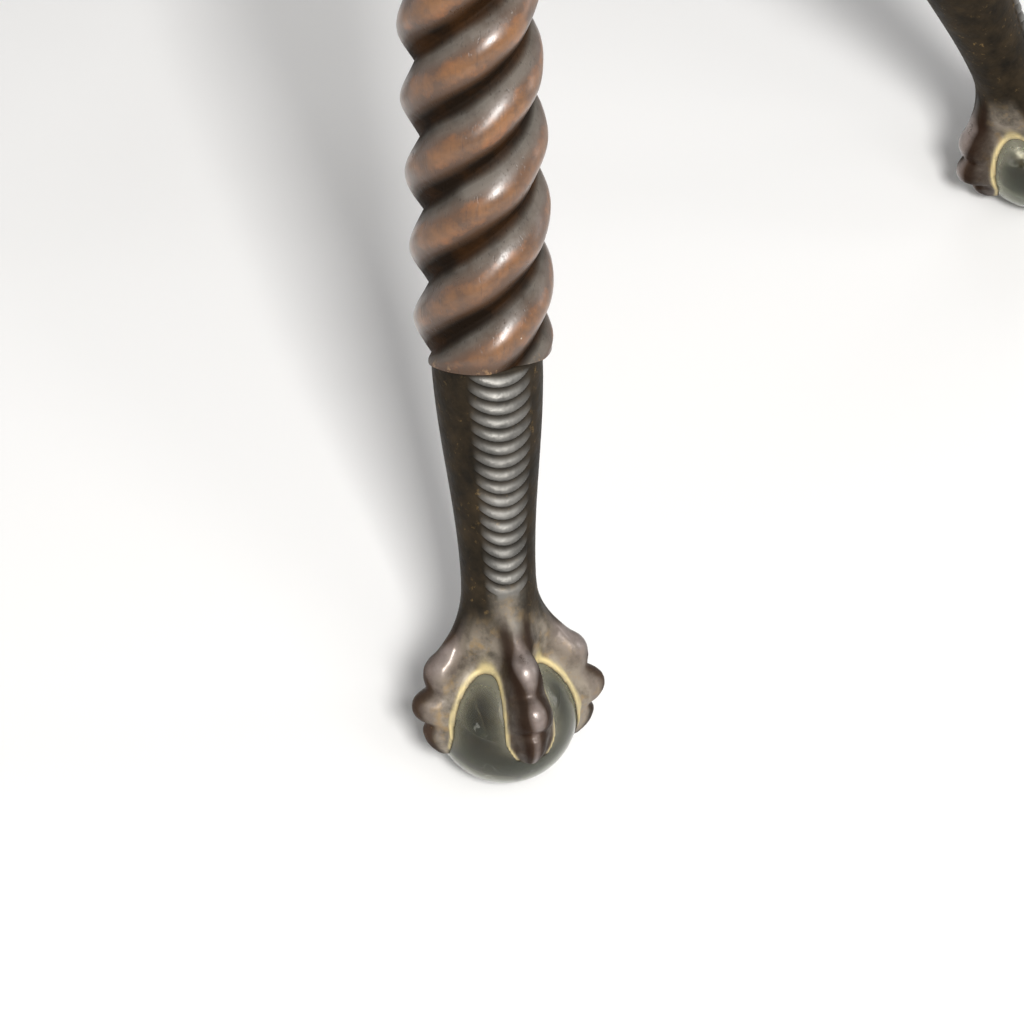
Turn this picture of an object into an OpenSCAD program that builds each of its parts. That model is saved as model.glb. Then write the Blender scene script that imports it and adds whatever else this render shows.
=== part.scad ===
// Revolving music stool: round plank seat on an iron screw, turned hub and column,
// four splayed rope-twist legs, and cast claw feet that each grip a glass ball.
// Origin on the floor under the screw, +Z up, the front leg towards -Y. Millimetres.

/* [Base] */
// Height of the wooden base, from the floor to the top of the hub
base_h = 412; // [404:1:424]
// Lean of each leg away from the vertical, in degrees
leg_splay = 24; // [22:0.5:25]
// Radius of the circle on which the legs enter the hub
leg_circle_r = 70; // [68:1:74]
// Height of the stretchers above the floor
stretcher_h = 262; // [258:1:268]
// Thickness of the hub along its axis
hub_t = 60; // [58:1:64]
// Diameter of the column's ball, where the stretchers enter
column_ball_d = 66; // [62:1:70]
// Length of the turned drop under the column
drop_len = 58; // [45:1:70]

/* [Legs] */
// Diameter over the ropes of the twist
twist_d = 42.2; // [40:0.2:45]
// Depth of the hollow between two ropes
twist_depth = 5; // [3.5:0.1:5.5]
// Rise of one rope in a full turn
twist_lead = 67; // [60:1:80]
// Diameter of the leg's ball, where its stretcher enters
leg_ball_d = 42; // [40:1:45]
// Diameter of the leg's upper vase at its widest
vase_d = 40; // [36:1:42]
// Diameter of the stretchers over their twist
stretcher_d = 20; // [18:0.5:23]

/* [Claw feet] */
// Diameter of the glass ball
ball_d = 44.5; // [42:0.5:47]
// Distance from the ball's centre to the top of the casting
foot_h = 120.5; // [114:0.5:124]
// Outer diameter of the casting at its top
foot_top_d = 33; // [32:0.5:36]
// Outer diameter of the casting at the ankle
ankle_d = 22.8; // [21:0.2:25]
// Turn of each casting on its leg, in degrees
foot_turn = 13; // [0:1:16]
// Diameter of the leg's lower tenon
leg_tenon_d = 21; // [19:0.5:22]
// Length of the leg's lower tenon
leg_tenon_len = 42; // [36:1:48]

/* [Seat] */
// Diameter of the seat
seat_d = 356; // [330:2:380]
// Thickness of the seat planks
seat_t = 34; // [30:1:40]
// Depth of the dish in the seat
dish_depth = 5; // [3:0.5:8]
// Width of the flat rim round the dish
rim_w = 24; // [18:1:32]
// Diameter of the round cleat under the planks
cleat_d = 214; // [200:2:230]
// Thickness of the round cleat
cleat_t = 18; // [16:1:22]

/* [Screw] */
// Outer diameter of the iron screw
screw_d = 25; // [24:0.5:27]
// Height of the thread over the core
thread_h = 2.3; // [2:0.1:2.6]
// Rise of the seat in one turn
pitch = 8; // [7.5:0.5:8]
// Turns of the seat from its lowest to its highest place
turns = 13; // [10:1:13]
// Length of the iron nut in the hub
nut_len = 45; // [42:1:48]
// Diameter of the nut's barrel
nut_d = 38; // [37:0.5:41]
// Diameter of the nut's flange
nut_flange_d = 88; // [84:1:96]
// Diameter over the arms of the seat plate
plate_span = 168; // [156:2:180]

/* [Hidden] */

wood = "#5b3219";
iron = "#3a3631";
casting = "#4a3f37";
glass = "#5c6b58";
steel = "#8c8a86";

$fn = 64;
glue_gap = 0.1;      // clearance of a glued or driven joint, on the radius
run_gap = 0.35;      // clearance of the thread, on every side
seat_gap = 0.4;      // air between the seat plate and the nut at the lowest place
ropes = 3;           // ropes of the twist
leg_angles = [-90, 0, 90, 180];   // front, right, back, left

// Feet and legs: a leg's own frame has the ball's centre as origin and +Z up along the leg.
ball_r = ball_d / 2;
ball_flat = 0.25;                          // depth of the worn flat under each ball
ball_z = ball_r - ball_flat;
shoulder_drop = 42;                        // hub top to the middle of a leg's shoulder
shoulder_z = base_h - shoulder_drop;
leg_len = (shoulder_z - ball_z) / cos(leg_splay);        // ball's centre to the shoulder
foot_r = leg_circle_r + (shoulder_z - ball_z) * tan(leg_splay);
leg_ball_t = (stretcher_h - ball_z) / cos(leg_splay);    // ball's centre to the leg's own ball
leg_ball_at = foot_r - leg_ball_t * sin(leg_splay);      // its distance from the stool's axis
leg_ball_r = leg_ball_d / 2;
twist_r = twist_d / 2;
twist_top = leg_ball_t - leg_ball_r - 5.5;
rope_phase = 83;                           // where a rope's crest meets the casting, in degrees
twist_ease = 1.8;                          // how far the ropes are eased in at the casting
top_tenon_r = 12;
top_tenon_len = 26;
shoulder_r = 16.5;
leg_tenon_r = leg_tenon_d / 2;

// Casting
foot_top_r = foot_top_d / 2;
ankle_r = ankle_d / 2;
ankle_t = ball_r + 23.4;
toe_angles = [0, 77, 180, 274];
cup_gap = 0.15;                            // clearance of the ball in its cup
window_margin = 21;                        // from a toe's middle to the window beside it, in degrees
foot_screw_t = foot_h - 16;
scale_count = 15;
scale_proud = 1;
scale_turn = -10;      // of the scales on the turned casting
scale_pitch = (foot_h - ankle_t - 3) / scale_count;

// Hub, column and drop
hub_rim_r = leg_circle_r + 15;
hub_bottom = base_h - hub_t;
spot_depth = 1.2;                          // depth of the flat for a leg's shoulder
neck_r = 39;                               // hub radius where the column seats
nut_r = nut_d / 2;
nut_flange_t = 5;
spigot_r = nut_r + 3.5;
spigot_len = hub_t - nut_len - 1;
lift = turns * pitch;
washer_t = 3;
stop_head_t = 3.5;
spindle_low = base_h - nut_len - lift - 0.5;   // lower face of the screw's body at rest
bore_r = screw_d / 2 + 2;
column_ball_r = column_ball_d / 2;
stop_gap = 4;      // under the stop screw at rest
plug_len = 20;     // least length of the drop's plug in the column
plug_top = spindle_low - washer_t - stop_head_t - stop_gap;
column_low = min(stretcher_h - column_ball_r - 4, plug_top - plug_len);
drop_low = column_low - drop_len;
column_ball_top = stretcher_h + column_ball_r;
neck_part = (hub_bottom - column_ball_top) / 57;   // length of the column's neck over the drawn one

// Stretchers
stretcher_r = stretcher_d / 2;
stretcher_tenon_r = 6.5;
stretcher_in = column_ball_r - 3;          // shoulder at the column
stretcher_out = leg_ball_at - leg_ball_r + 2.5;   // shoulder at the leg
stretcher_tenon_in = 12;
stretcher_tenon_out = 11;

// Seat
boss_low = base_h + nut_flange_t + seat_gap;
boss_h = 14;
boss_r = 20;
plate_t = 4;
plate_z = boss_low + boss_h;
cleat_z = plate_z + plate_t;
seat_z = cleat_z + cleat_t;
seat_top = seat_z + seat_t;
seat_r = seat_d / 2;
board_w = seat_d / 3;
plate_screw_at = plate_span / 2 - 12;
cleat_screw_at = cleat_d / 2 - 9;
core_r = screw_d / 2 - thread_h;
shank_r = core_r + 0.4;                    // plain top of the screw, in the seat plate
stop_pin_r = 5;
pin_r = 3;

// ---- outlines -------------------------------------------------------------------------
// Points of a round bead standing out of radius r between heights a and b.
function bead(a, b, r, out, n = 8) =
    [for (i = [0:n]) [r + out * sin(180 * i / n), a + (b - a) * (1 - cos(180 * i / n)) / 2]];
// Points of a smooth swell from radius r0 at height a to radius r1 at height b.
function swell(a, b, r0, r1, n = 8) =
    [for (i = [0:n]) [r0 + (r1 - r0) * (1 - cos(180 * i / n)) / 2, a + (b - a) * i / n]];
// Points of a ball of radius r about height c, from polar angle a0 up to a1.
function ball_arc(c, r, a0, a1, n = 12) =
    [for (i = [0:n]) let (a = a0 + (a1 - a0) * i / n) [r * cos(a), c + r * sin(a)]];
// Radius of a rope twist at angle a: rounded ropes that meet in narrow hollows.
function rope_r(a, r, depth, count) =
    let (u = (((a * count / 360) % 1) + 1) % 1 * 2 - 1)
    r - depth * (0.6 * u * u + 0.2 * (1 - cos(180 * u)));

// Turns an outline about the axis, closed at radius inner.
module turned(points, inner = 0) {
    low = points[0][1];
    high = points[len(points) - 1][1];
    rotate_extrude() polygon(concat([[inner, low]], points, [[inner, high]]));
}

// Rope twist of outer radius r from height a to b, with a crest at angle phase at height a.
module rope_twist(a, b, r, depth, lead, phase, points, step) {
    translate([0, 0, a])
        rotate(phase - 180 / ropes)
            linear_extrude(height = b - a, twist = -360 * (b - a) / lead,
                           slices = ceil(360 * (b - a) / lead / step), segments = points)
                polygon([for (i = [0:points - 1])
                    let (angle = 360 * i / points, radius = rope_r(angle, r, depth, ropes))
                    [radius * cos(angle), radius * sin(angle)]]);
}

// Countersunk wood screw: top of its head at the origin, pointing down.
module wood_screw(head_r, shank, length, slot = true) {
    difference() {
        union() {
            translate([0, 0, -(head_r - shank)]) cylinder(r1 = shank, r2 = head_r, h = head_r - shank, $fn = 32);
            translate([0, 0, -length + 3]) cylinder(r = shank, h = length - 3.01 - (head_r - shank) + 0.02, $fn = 32);
            translate([0, 0, -length]) cylinder(r1 = 0.3, r2 = shank, h = 3, $fn = 32);
        }
        if (slot) translate([-head_r, -0.4, -0.9]) cube([2 * head_r, 0.8, 2]);
    }
}

// Hole that such a screw fills.
module screw_hole(head_r, shank, length) {
    gap = 0.05;
    translate([0, 0, -(head_r - shank)]) cylinder(r1 = shank + gap, r2 = head_r + gap, h = head_r - shank, $fn = 32);
    translate([0, 0, -length - gap]) cylinder(r = shank + gap, h = length, $fn = 32);
    translate([0, 0, -0.01]) cylinder(r = head_r + gap, h = 30, $fn = 32);
}

// ---- iron screw ------------------------------------------------------------------------
// Solid thread from z0 to z1, in step with every other thread of this pitch.
module thread(z0, z1, root, crest, root_w, crest_w, steps = 24) {
    count = floor((z1 - z0) / pitch * steps);
    rings = [for (i = [0:count]) let (z = z0 + i * pitch / steps, a = 360 * (z - base_h) / pitch)
        for (p = [[root, -root_w / 2], [crest, -crest_w / 2], [crest, crest_w / 2], [root, root_w / 2]])
            [p[0] * cos(a), p[0] * sin(a), z + p[1]]];
    sides = [for (i = [0:count - 1], j = [0:3])
        [4 * i + j, 4 * i + (j + 1) % 4, 4 * i + 4 + (j + 1) % 4, 4 * i + 4 + j]];
    polyhedron(rings, concat(sides, [[3, 2, 1, 0], [for (j = [0:3]) 4 * count + j]]), convexity = 20);
}

thread_root_w = pitch * 0.56;
thread_crest_w = pitch * 0.36;

module screw_spindle() color(iron) difference() {
    union() {
        translate([0, 0, spindle_low]) cylinder(r = core_r, h = boss_low - spindle_low);
        thread(spindle_low + 3, boss_low - 4, core_r - 0.6, screw_d / 2, thread_root_w, thread_crest_w);
        translate([0, 0, boss_low - 0.01]) cylinder(r = shank_r, h = boss_h + plate_t - 0.2);
        translate([0, 0, spindle_low - washer_t - 0.6]) cylinder(r = stop_pin_r, h = washer_t + 1);
    }
    translate([-50, 0, boss_low + boss_h / 2]) rotate([0, 90, 0]) cylinder(r = pin_r + 0.03, h = 100);
    translate([0, 0, spindle_low - washer_t - 1]) cylinder(r = 2.05, h = 16);
}

module stop_washer() color(steel) translate([0, 0, spindle_low - washer_t - 0.3]) difference() {
    cylinder(r = bore_r - 1, h = washer_t);
    translate([0, 0, -1]) cylinder(r = stop_pin_r + 0.08, h = washer_t + 2);
}

module stop_screw() color(steel) translate([0, 0, spindle_low - washer_t - 0.6]) difference() {
    union() {
        translate([0, 0, -stop_head_t]) cylinder(r1 = 7.6, r2 = 8.4, h = stop_head_t);
        translate([0, 0, -0.01]) cylinder(r = 2, h = 14);
    }
    translate([-9, -0.6, -stop_head_t - 1]) cube([18, 1.2, 2]);
}

module spindle_pin() color(steel) translate([-boss_r - 0.5, 0, boss_low + boss_h / 2])
    rotate([0, 90, 0]) cylinder(r = pin_r, h = 2 * boss_r + 1);

module nut_plate() color(iron) difference() {
    union() {
        translate([0, 0, base_h - nut_len]) cylinder(r = nut_r, h = nut_len + 1);
        translate([0, 0, base_h]) turned([[nut_flange_d / 2, 0], [nut_flange_d / 2, nut_flange_t - 2],
            [nut_flange_d / 2 - 2, nut_flange_t]]);
    }
    translate([0, 0, base_h - nut_len - 1]) cylinder(r = core_r + run_gap, h = nut_len + nut_flange_t + 2);
    thread(base_h - nut_len - pitch, base_h + nut_flange_t + pitch, core_r - 0.6, screw_d / 2 + run_gap,
           thread_root_w + 2 * run_gap, thread_crest_w + 2 * run_gap);
    nut_screw_places() screw_hole(5, 2.5, 26);
}

module nut_screw_places() for (a = [45:90:315])
    rotate(a) translate([nut_flange_d / 2 - 10, 0, base_h + nut_flange_t]) children();

module nut_plate_screws() color(steel) nut_screw_places() wood_screw(5, 2.5, 26);

// ---- seat -------------------------------------------------------------------------------
module seat_plate() color(iron) difference() {
    union() {
        translate([0, 0, boss_low]) cylinder(r = boss_r, h = boss_h + 1);
        translate([0, 0, plate_z]) cylinder(r = 36, h = plate_t);
        for (a = [0:90:270]) rotate(a) {
            translate([0, -11, plate_z]) cube([plate_span / 2 - 11, 22, plate_t]);
            translate([plate_span / 2 - 11, 0, plate_z]) cylinder(r = 11, h = plate_t);
            translate([boss_r - 3, -2.5, plate_z - 6]) cube([26, 5, 7]);
        }
    }
    translate([0, 0, boss_low - 1]) cylinder(r = shank_r + glue_gap, h = boss_h + plate_t + 2);
    translate([-50, 0, boss_low + boss_h / 2]) rotate([0, 90, 0]) cylinder(r = pin_r + 0.03, h = 100);
    plate_screw_places() screw_hole(4.6, 2.4, 30);
}

module plate_screw_places() for (a = [0:90:270])
    rotate(a) translate([plate_screw_at, 0, plate_z]) rotate([180, 0, 0]) children();

module seat_plate_screws() color(steel) plate_screw_places() wood_screw(4.6, 2.4, 30);

module cleat_screw_places() for (a = [30:60:330])
    rotate(a) translate([cleat_screw_at, 0, cleat_z]) rotate([180, 0, 0]) children();

module cleat_screws() color(steel) cleat_screw_places() wood_screw(4.6, 2.4, cleat_t + 18);

module seat_cleat() color(wood) difference() {
    turned([[cleat_d / 2 - 8, cleat_z], [cleat_d / 2 - 2, cleat_z + 6], [cleat_d / 2, cleat_z + 10],
            [cleat_d / 2, seat_z]]);
    plate_screw_places() screw_hole(4.6, 2.4, 30);
    cleat_screw_places() screw_hole(4.6, 2.4, cleat_t + 18);
}

// Outline of the whole seat: underside, round nosing over a cove, flat rim and shallow dish.
function seat_outline() = concat(
    [[0, seat_z], [seat_r - 26, seat_z]],
    [for (a = [0:15:90]) [seat_r - 26 + 12 * sin(a), seat_z + 12 - 12 * cos(a)]],
    [for (a = [-60:15:90]) [seat_r - 9 + 9 * cos(a), seat_top - 9 + 9 * sin(a)]],
    [[seat_r - rim_w, seat_top]],
    [for (i = [1:8]) let (u = i / 8)
        [(seat_r - rim_w) * (1 - u), seat_top - dish_depth * sin(90 * min(1, u * 1.8))]]);

module seat_board(index) color(wood) difference() {
    intersection() {
        rotate_extrude($fn = 128) polygon(seat_outline());
        translate([-seat_r - 1, -seat_r + board_w * index, seat_z - 1]) cube([seat_d + 2, board_w, seat_t + 2]);
    }
    plate_screw_places() screw_hole(4.6, 2.4, 30);
    cleat_screw_places() screw_hole(4.6, 2.4, cleat_t + 18);
}

// ---- hub, column and drop ------------------------------------------------------------------
// Height of the hub's conical underside at radius r, square to the legs.
function hub_under(r) = shoulder_z - spot_depth / cos(leg_splay) + (r - leg_circle_r) * tan(leg_splay);

module hub() color(wood) difference() {
    turned(concat(
        [[neck_r - 3, hub_bottom]],
        bead(hub_bottom, hub_under(neck_r + 2), neck_r - 3, 5),
        [[hub_rim_r - 3, hub_under(hub_rim_r - 3)]],
        bead(hub_under(hub_rim_r - 3), hub_under(hub_rim_r - 3) + 8, hub_rim_r - 3, 2.4),
        [[hub_rim_r - 4, hub_under(hub_rim_r) + 9]],
        bead(hub_under(hub_rim_r) + 10, base_h, hub_rim_r - 6, 8, 12),
        [[nut_flange_d / 2 + 6, base_h]]));
    translate([0, 0, hub_bottom + spigot_len]) cylinder(r = nut_r + glue_gap, h = hub_t);
    translate([0, 0, hub_bottom - 1]) cylinder(r = spigot_r + glue_gap, h = spigot_len + 1.2);
    nut_screw_places() screw_hole(5, 2.5, 26);
    leg_places() translate([0, 0, leg_len]) {
        translate([0, 0, -20]) cylinder(r = shoulder_r + 0.3, h = 20);
        translate([0, 0, -1]) cylinder(r = top_tenon_r + glue_gap, h = top_tenon_len + 1.5);
    }
}

module column() color(wood) difference() {
    union() {
        translate([0, 0, hub_bottom - 1]) cylinder(r = spigot_r, h = spigot_len + 0.8);
        turned(concat(
            [[24, column_low]],
            bead(column_low, column_low + 7, 24, 3),
            [[21, column_low + 8.5]],
            ball_arc(stretcher_h, column_ball_r, -50, 50),
            [[21, column_ball_top - 3]],
            bead(column_ball_top - 2, column_ball_top + 5 * neck_part, 21, 5),
            swell(column_ball_top + 6 * neck_part, column_ball_top + 24 * neck_part, 19.5, 29),
            swell(column_ball_top + 25 * neck_part, hub_bottom - 13 * neck_part, 29, 22),
            bead(hub_bottom - 12 * neck_part, hub_bottom - 5 * neck_part, 22, 6),
            [[27, hub_bottom - 4 * neck_part], [neck_r - 3, hub_bottom - 2 * neck_part], [neck_r - 3, hub_bottom]]));
    }
    translate([0, 0, column_low - 1]) cylinder(r = bore_r, h = hub_bottom + spigot_len - column_low + 2);
    for (a = leg_angles) rotate(a) translate([stretcher_in - stretcher_tenon_in - 0.3, 0, stretcher_h])
        rotate([0, 90, 0]) cylinder(r = stretcher_tenon_r + glue_gap, h = 40);
    for (a = leg_angles) rotate(a) translate([stretcher_in, 0, stretcher_h])
        rotate([0, 90, 0]) cylinder(r = 9.3, h = 20);
}

module drop_finial() color(wood) union() {
    translate([0, 0, column_low - 1]) cylinder(r = bore_r - glue_gap, h = plug_top - column_low + 1);
    turned(concat(
        ball_arc(drop_low + 9, 9, -88, 40, 10),
        [[5.5, drop_low + 17]],
        bead(drop_low + 17.5, drop_low + 21.5, 5.5, 4.5),
        swell(drop_low + 22, drop_low + 36, 6, 19),
        swell(drop_low + 37, column_low - 5, 19, 13),
        bead(column_low - 4.5, column_low, 17, 4)));
}

// ---- legs and stretchers ---------------------------------------------------------------------
// Places its children in a leg's own frame, once for each leg angle given.
module leg_places(angles = leg_angles) for (a = angles)
    rotate(a) translate([foot_r, 0, ball_z]) rotate([0, -leg_splay, 0]) children();

module leg(angle) color(wood) leg_places([angle]) difference() {
    union() {
        translate([0, 0, foot_h - leg_tenon_len]) cylinder(r = leg_tenon_r, h = leg_tenon_len + 1);
        rope_twist(foot_h, twist_top + 1, twist_r, twist_depth, twist_lead, rope_phase, 24, 13);
        turned(concat(
            bead(twist_top, twist_top + 5, twist_r - 3, 3.2),
            [[14.5, twist_top + 6]],
            ball_arc(leg_ball_t, leg_ball_r, -47, 47),
            [[13.5, leg_ball_t + leg_ball_r - 3]],
            bead(leg_ball_t + leg_ball_r - 2, leg_ball_t + leg_ball_r + 4, 14, 4.5),
            swell(leg_ball_t + leg_ball_r + 5, leg_ball_t + leg_ball_r + 32, 12.5, vase_d / 2),
            swell(leg_ball_t + leg_ball_r + 33, leg_len - 14, vase_d / 2, 12.5),
            bead(leg_len - 13, leg_len - 8, 13, 4.5),
            [[13, leg_len - 7], [shoulder_r, leg_len - 4], [shoulder_r, leg_len]]));
        translate([0, 0, leg_len - 1]) cylinder(r = top_tenon_r, h = top_tenon_len + 1);
    }
    foot_screw_place() screw_hole(4, 2, 12);
    turned([[twist_r - twist_ease, foot_h - 0.5], [twist_r + 1, foot_h + 4 * twist_ease]], twist_r + 2);
    translate([0, 0, leg_ball_t]) rotate([0, leg_splay, 0]) {
        translate([-40, 0, 0]) rotate([0, 90, 0])
            cylinder(r = stretcher_tenon_r + glue_gap, h = 40 - (leg_ball_at - stretcher_out) + stretcher_tenon_out + 0.3);
        translate([-40, 0, 0]) rotate([0, 90, 0]) cylinder(r = 9.3, h = 40 - (leg_ball_at - stretcher_out));
    }
}

module stretcher(angle) color(wood) rotate(angle) translate([0, 0, stretcher_h]) rotate([0, 90, 0]) {
    twist_from = stretcher_in + 12;
    twist_to = stretcher_out - 12;
    union() {
        translate([0, 0, stretcher_in - stretcher_tenon_in])
            cylinder(r = stretcher_tenon_r, h = stretcher_out - stretcher_in + stretcher_tenon_in + stretcher_tenon_out);
        turned(concat([[9, stretcher_in]], bead(stretcher_in + 5, stretcher_in + 9, 7.5, 3), [[7.5, twist_from + 1]]));
        rope_twist(twist_from, twist_to, stretcher_r, 2.2, 30, 0, 18, 20);
        turned(concat([[7.5, twist_to - 1]], bead(stretcher_out - 9, stretcher_out - 5, 7.5, 3), [[9, stretcher_out]]));
    }
}

// ---- claw feet -------------------------------------------------------------------------------
// The casting round the ball, by polar angle from the leg's axis: radius of the web
// between two toes, radius of a toe's crest, and half the toe's width at its root.
claw_rings = [[13.5, 49, 49, 5], [16, 42, 42.6, 5.8], [20, 36.2, 38.5, 6.6], [26, 30.8, 35.5, 7.4],
              [33, 27.2, 33.8, 8.3], [40, 25.6, 33.2, 9.1], [47, 25.1, 33.8, 9.7], [56, 24.9, 31.7, 8.7],
              [63, 24.7, 29.4, 8.1], [71, 24, 31.6, 8.9], [78, 22.8, 31.9, 9.4], [84, 21.4, 29.8, 9],
              [88.5, 21, 27.1, 8], [97, 21, 27.8, 6.8], [106, 21, 26.4, 5.6], [114, 21, 24.2, 4.2],
              [119, 20.5, 20.8, 2.4]];
claw_scale = ball_r / 22.25;
toe_spread = [-27, -20, -15, -9, -3, 3, 9, 15, 20, 27];

function from_toe(a, toe) = let (d = ((a - toe) % 360 + 540) % 360 - 180) abs(d);
function toe_share(a, ring) = max([for (toe = toe_angles)
    let (u = from_toe(a, toe) * PI / 180 * 27 * sin(ring[0]) / ring[3])
    u < 1 ? pow(cos(90 * u), 1.3) : 0]);

// Toes and webs as one skin round the ball, closed at the axis.
module claw() {
    angles = [for (i = [0:3]) let (gap = (i == 3 ? 360 : toe_angles[i + 1]) - toe_angles[i])
        for (d = concat(toe_spread, [gap / 2])) (toe_angles[i] + d + 360) % 360];
    around = len(angles);
    points = [for (ring = claw_rings, a = angles)
        let (r = claw_scale * (ring[1] + (ring[2] - ring[1]) * toe_share(a, ring)))
        [r * sin(ring[0]) * cos(a), r * sin(ring[0]) * sin(a), r * cos(ring[0])]];
    last = len(claw_rings) - 1;
    top = len(points);
    polyhedron(concat(points, [[0, 0, claw_scale * 46], [0, 0, -1]]), concat(
        [for (i = [0:last - 1], j = [0:around - 1]) let (k = (j + 1) % around)
            each [[around * i + j, around * i + k, around * (i + 1) + k],
                  [around * i + j, around * (i + 1) + k, around * (i + 1) + j]]],
        [for (j = [0:around - 1]) [top, (j + 1) % around, j]],
        [for (j = [0:around - 1]) [top + 1, around * last + j, around * last + (j + 1) % around]]), convexity = 8);
}

// An arched window between two toes, as a prism that points outwards.
module window(angle, half_w, top) rotate(angle) rotate([90, 0, 90]) linear_extrude(height = 60)
    polygon(concat([[half_w * 1.6, -30], [half_w * 1.25, -10]],
        [for (a = [0:12:180]) [half_w * cos(a) * (1 - 0.18 * sin(a)), top * sin(a)]],
        [[-half_w * 1.25, -10], [-half_w * 1.6, -30]]));

// Radius of the casting's shank at height t.
function shank_at(t) = let (u = max(0, min(1, (t - ankle_t) / (foot_h - ankle_t))))
    ankle_r + (foot_top_r - ankle_r) * (1 - cos(180 * u)) / 2;

// One crescent scale on the outer side of the shank, standing proud at its lower edge.
module shank_scale(t) {
    r = shank_at(t);
    wide = (r / 2 + scale_proud) / cos(32);
    translate([r / 2, 0, t]) rotate([0, 32, 0]) cylinder(r1 = wide, r2 = wide - 1.4, h = 4);
}

module claw_foot(angle) color(casting) leg_places([angle]) rotate(foot_turn) difference() {
    union() {
        turned(concat([[ankle_r - 0.4, ball_r + 8]], swell(ankle_t, foot_h, ankle_r, foot_top_r)));
        claw();
        for (i = [0:scale_count - 1]) rotate(scale_turn) shank_scale(ankle_t + 1 + i * scale_pitch);
    }
    sphere(r = ball_r + cup_gap, $fn = 96);
    translate([0, 0, foot_h - leg_tenon_len - 0.5]) cylinder(r = leg_tenon_r + glue_gap, h = leg_tenon_len + 2);
    translate([0, 0, foot_h]) cylinder(r = foot_top_r + 10, h = 20);
    for (i = [0:3]) let (a = toe_angles[i], b = i == 3 ? 360 : toe_angles[i + 1])
        window((a + b) / 2, ball_r * sin((b - a) / 2 - window_margin), ball_r * 0.93);
    rotate(-foot_turn) foot_screw_place() screw_hole(4, 2, 12);
}

module foot_screw_place() translate([-ankle_r - (foot_top_r - ankle_r) * 0.94, 0, foot_screw_t])
    rotate([0, -90, 0]) children();

module foot_screws() color(steel) leg_places() foot_screw_place() wood_screw(4, 2, 12);

module glass_ball(angle) color(glass) rotate(angle) translate([foot_r, 0, ball_z]) intersection() {
    sphere(r = ball_r, $fn = 96);
    translate([-ball_r, -ball_r, -ball_z]) cube([ball_d, ball_d, ball_d + 1]);
}

seat_board(0);  // seat_board_left
seat_board(1);  // seat_board_middle
seat_board(2);  // seat_board_right
seat_cleat();
cleat_screws();
seat_plate();
seat_plate_screws();
screw_spindle();
spindle_pin();
stop_washer();
stop_screw();
nut_plate();
nut_plate_screws();
hub();
column();
drop_finial();
leg(leg_angles[0]);  // leg_front
leg(leg_angles[1]);  // leg_right
leg(leg_angles[2]);  // leg_back
leg(leg_angles[3]);  // leg_left
stretcher(leg_angles[0]);  // stretcher_front
stretcher(leg_angles[1]);  // stretcher_right
stretcher(leg_angles[2]);  // stretcher_back
stretcher(leg_angles[3]);  // stretcher_left
claw_foot(leg_angles[0]);  // claw_foot_front
claw_foot(leg_angles[1]);  // claw_foot_right
claw_foot(leg_angles[2]);  // claw_foot_back
claw_foot(leg_angles[3]);  // claw_foot_left
glass_ball(leg_angles[0]);  // glass_ball_front
glass_ball(leg_angles[1]);  // glass_ball_right
glass_ball(leg_angles[2]);  // glass_ball_back
glass_ball(leg_angles[3]);  // glass_ball_left
foot_screws();
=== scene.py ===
"""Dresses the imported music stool: turned and rope-twisted wood, claw castings that grip
glass balls, a dished plank seat, iron screw gear, a plain studio and the camera."""
import logging
from dataclasses import dataclass, field
from enum import Enum
from functools import cache
from math import atan2, cos, degrees, exp, hypot, pi, radians, sin, sqrt, tan, tau
from typing import Any, Callable, Sequence

import bmesh
import bpy
from mathutils import Matrix, Vector


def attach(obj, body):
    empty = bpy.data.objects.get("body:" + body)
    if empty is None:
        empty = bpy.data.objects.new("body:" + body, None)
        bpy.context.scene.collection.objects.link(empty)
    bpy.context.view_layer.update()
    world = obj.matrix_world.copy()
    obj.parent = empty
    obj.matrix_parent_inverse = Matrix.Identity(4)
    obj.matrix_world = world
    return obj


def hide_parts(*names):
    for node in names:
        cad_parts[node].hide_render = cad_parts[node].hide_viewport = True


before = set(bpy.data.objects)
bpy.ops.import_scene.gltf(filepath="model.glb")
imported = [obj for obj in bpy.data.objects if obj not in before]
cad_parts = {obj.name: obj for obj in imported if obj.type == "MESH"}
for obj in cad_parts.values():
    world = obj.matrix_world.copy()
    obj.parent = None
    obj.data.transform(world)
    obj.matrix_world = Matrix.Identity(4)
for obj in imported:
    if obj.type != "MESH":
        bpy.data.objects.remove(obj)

LOG = logging.getLogger("stool")
MM = 0.001
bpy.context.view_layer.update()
# Way from the grain's frame to the middle of the tree that the seat's planks were sawn from.
PITH = (-0.452, -0.02, 0.0)
CRISP = radians(42)
WHITE = (1.0, 1.0, 1.0, 1.0)
Colour = tuple[float, float, float]
Point = tuple[float, float]
Mesh, Vert = bmesh.types.BMesh, bmesh.types.BMVert
Thing, Material, Socket = bpy.types.Object, bpy.types.Material, bpy.types.NodeSocket


class Body(Enum):
    """Rigid bodies of the record that the new pieces ride on."""
    BASE = "base"
    SEAT = "seat"


class Slot(Enum):
    """Material slots of the record that the new pieces fill."""
    SEAT_WOOD = "seat_wood"
    TURNED_WOOD = "turned_wood"
    CASTING = "claw_casting"
    GLASS = "ball_glass"


class Side(Enum):
    """The four sides of the stool, with the angle of the leg that stands there."""
    FRONT = -90.0
    RIGHT = 0.0
    BACK = 90.0
    LEFT = 180.0

    @property
    def word(self) -> str:
        """The side's name as the CAD nodes spell it."""
        return self.name.lower()


def sin_deg(angle: float) -> float:
    """Sine of an angle in degrees."""
    return sin(radians(angle))


def cos_deg(angle: float) -> float:
    """Cosine of an angle in degrees."""
    return cos(radians(angle))


def turn(angle: float, axis: str = "Z") -> Matrix:
    """Turn by an angle in degrees about an axis."""
    return Matrix.Rotation(radians(angle), 4, axis)


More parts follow.
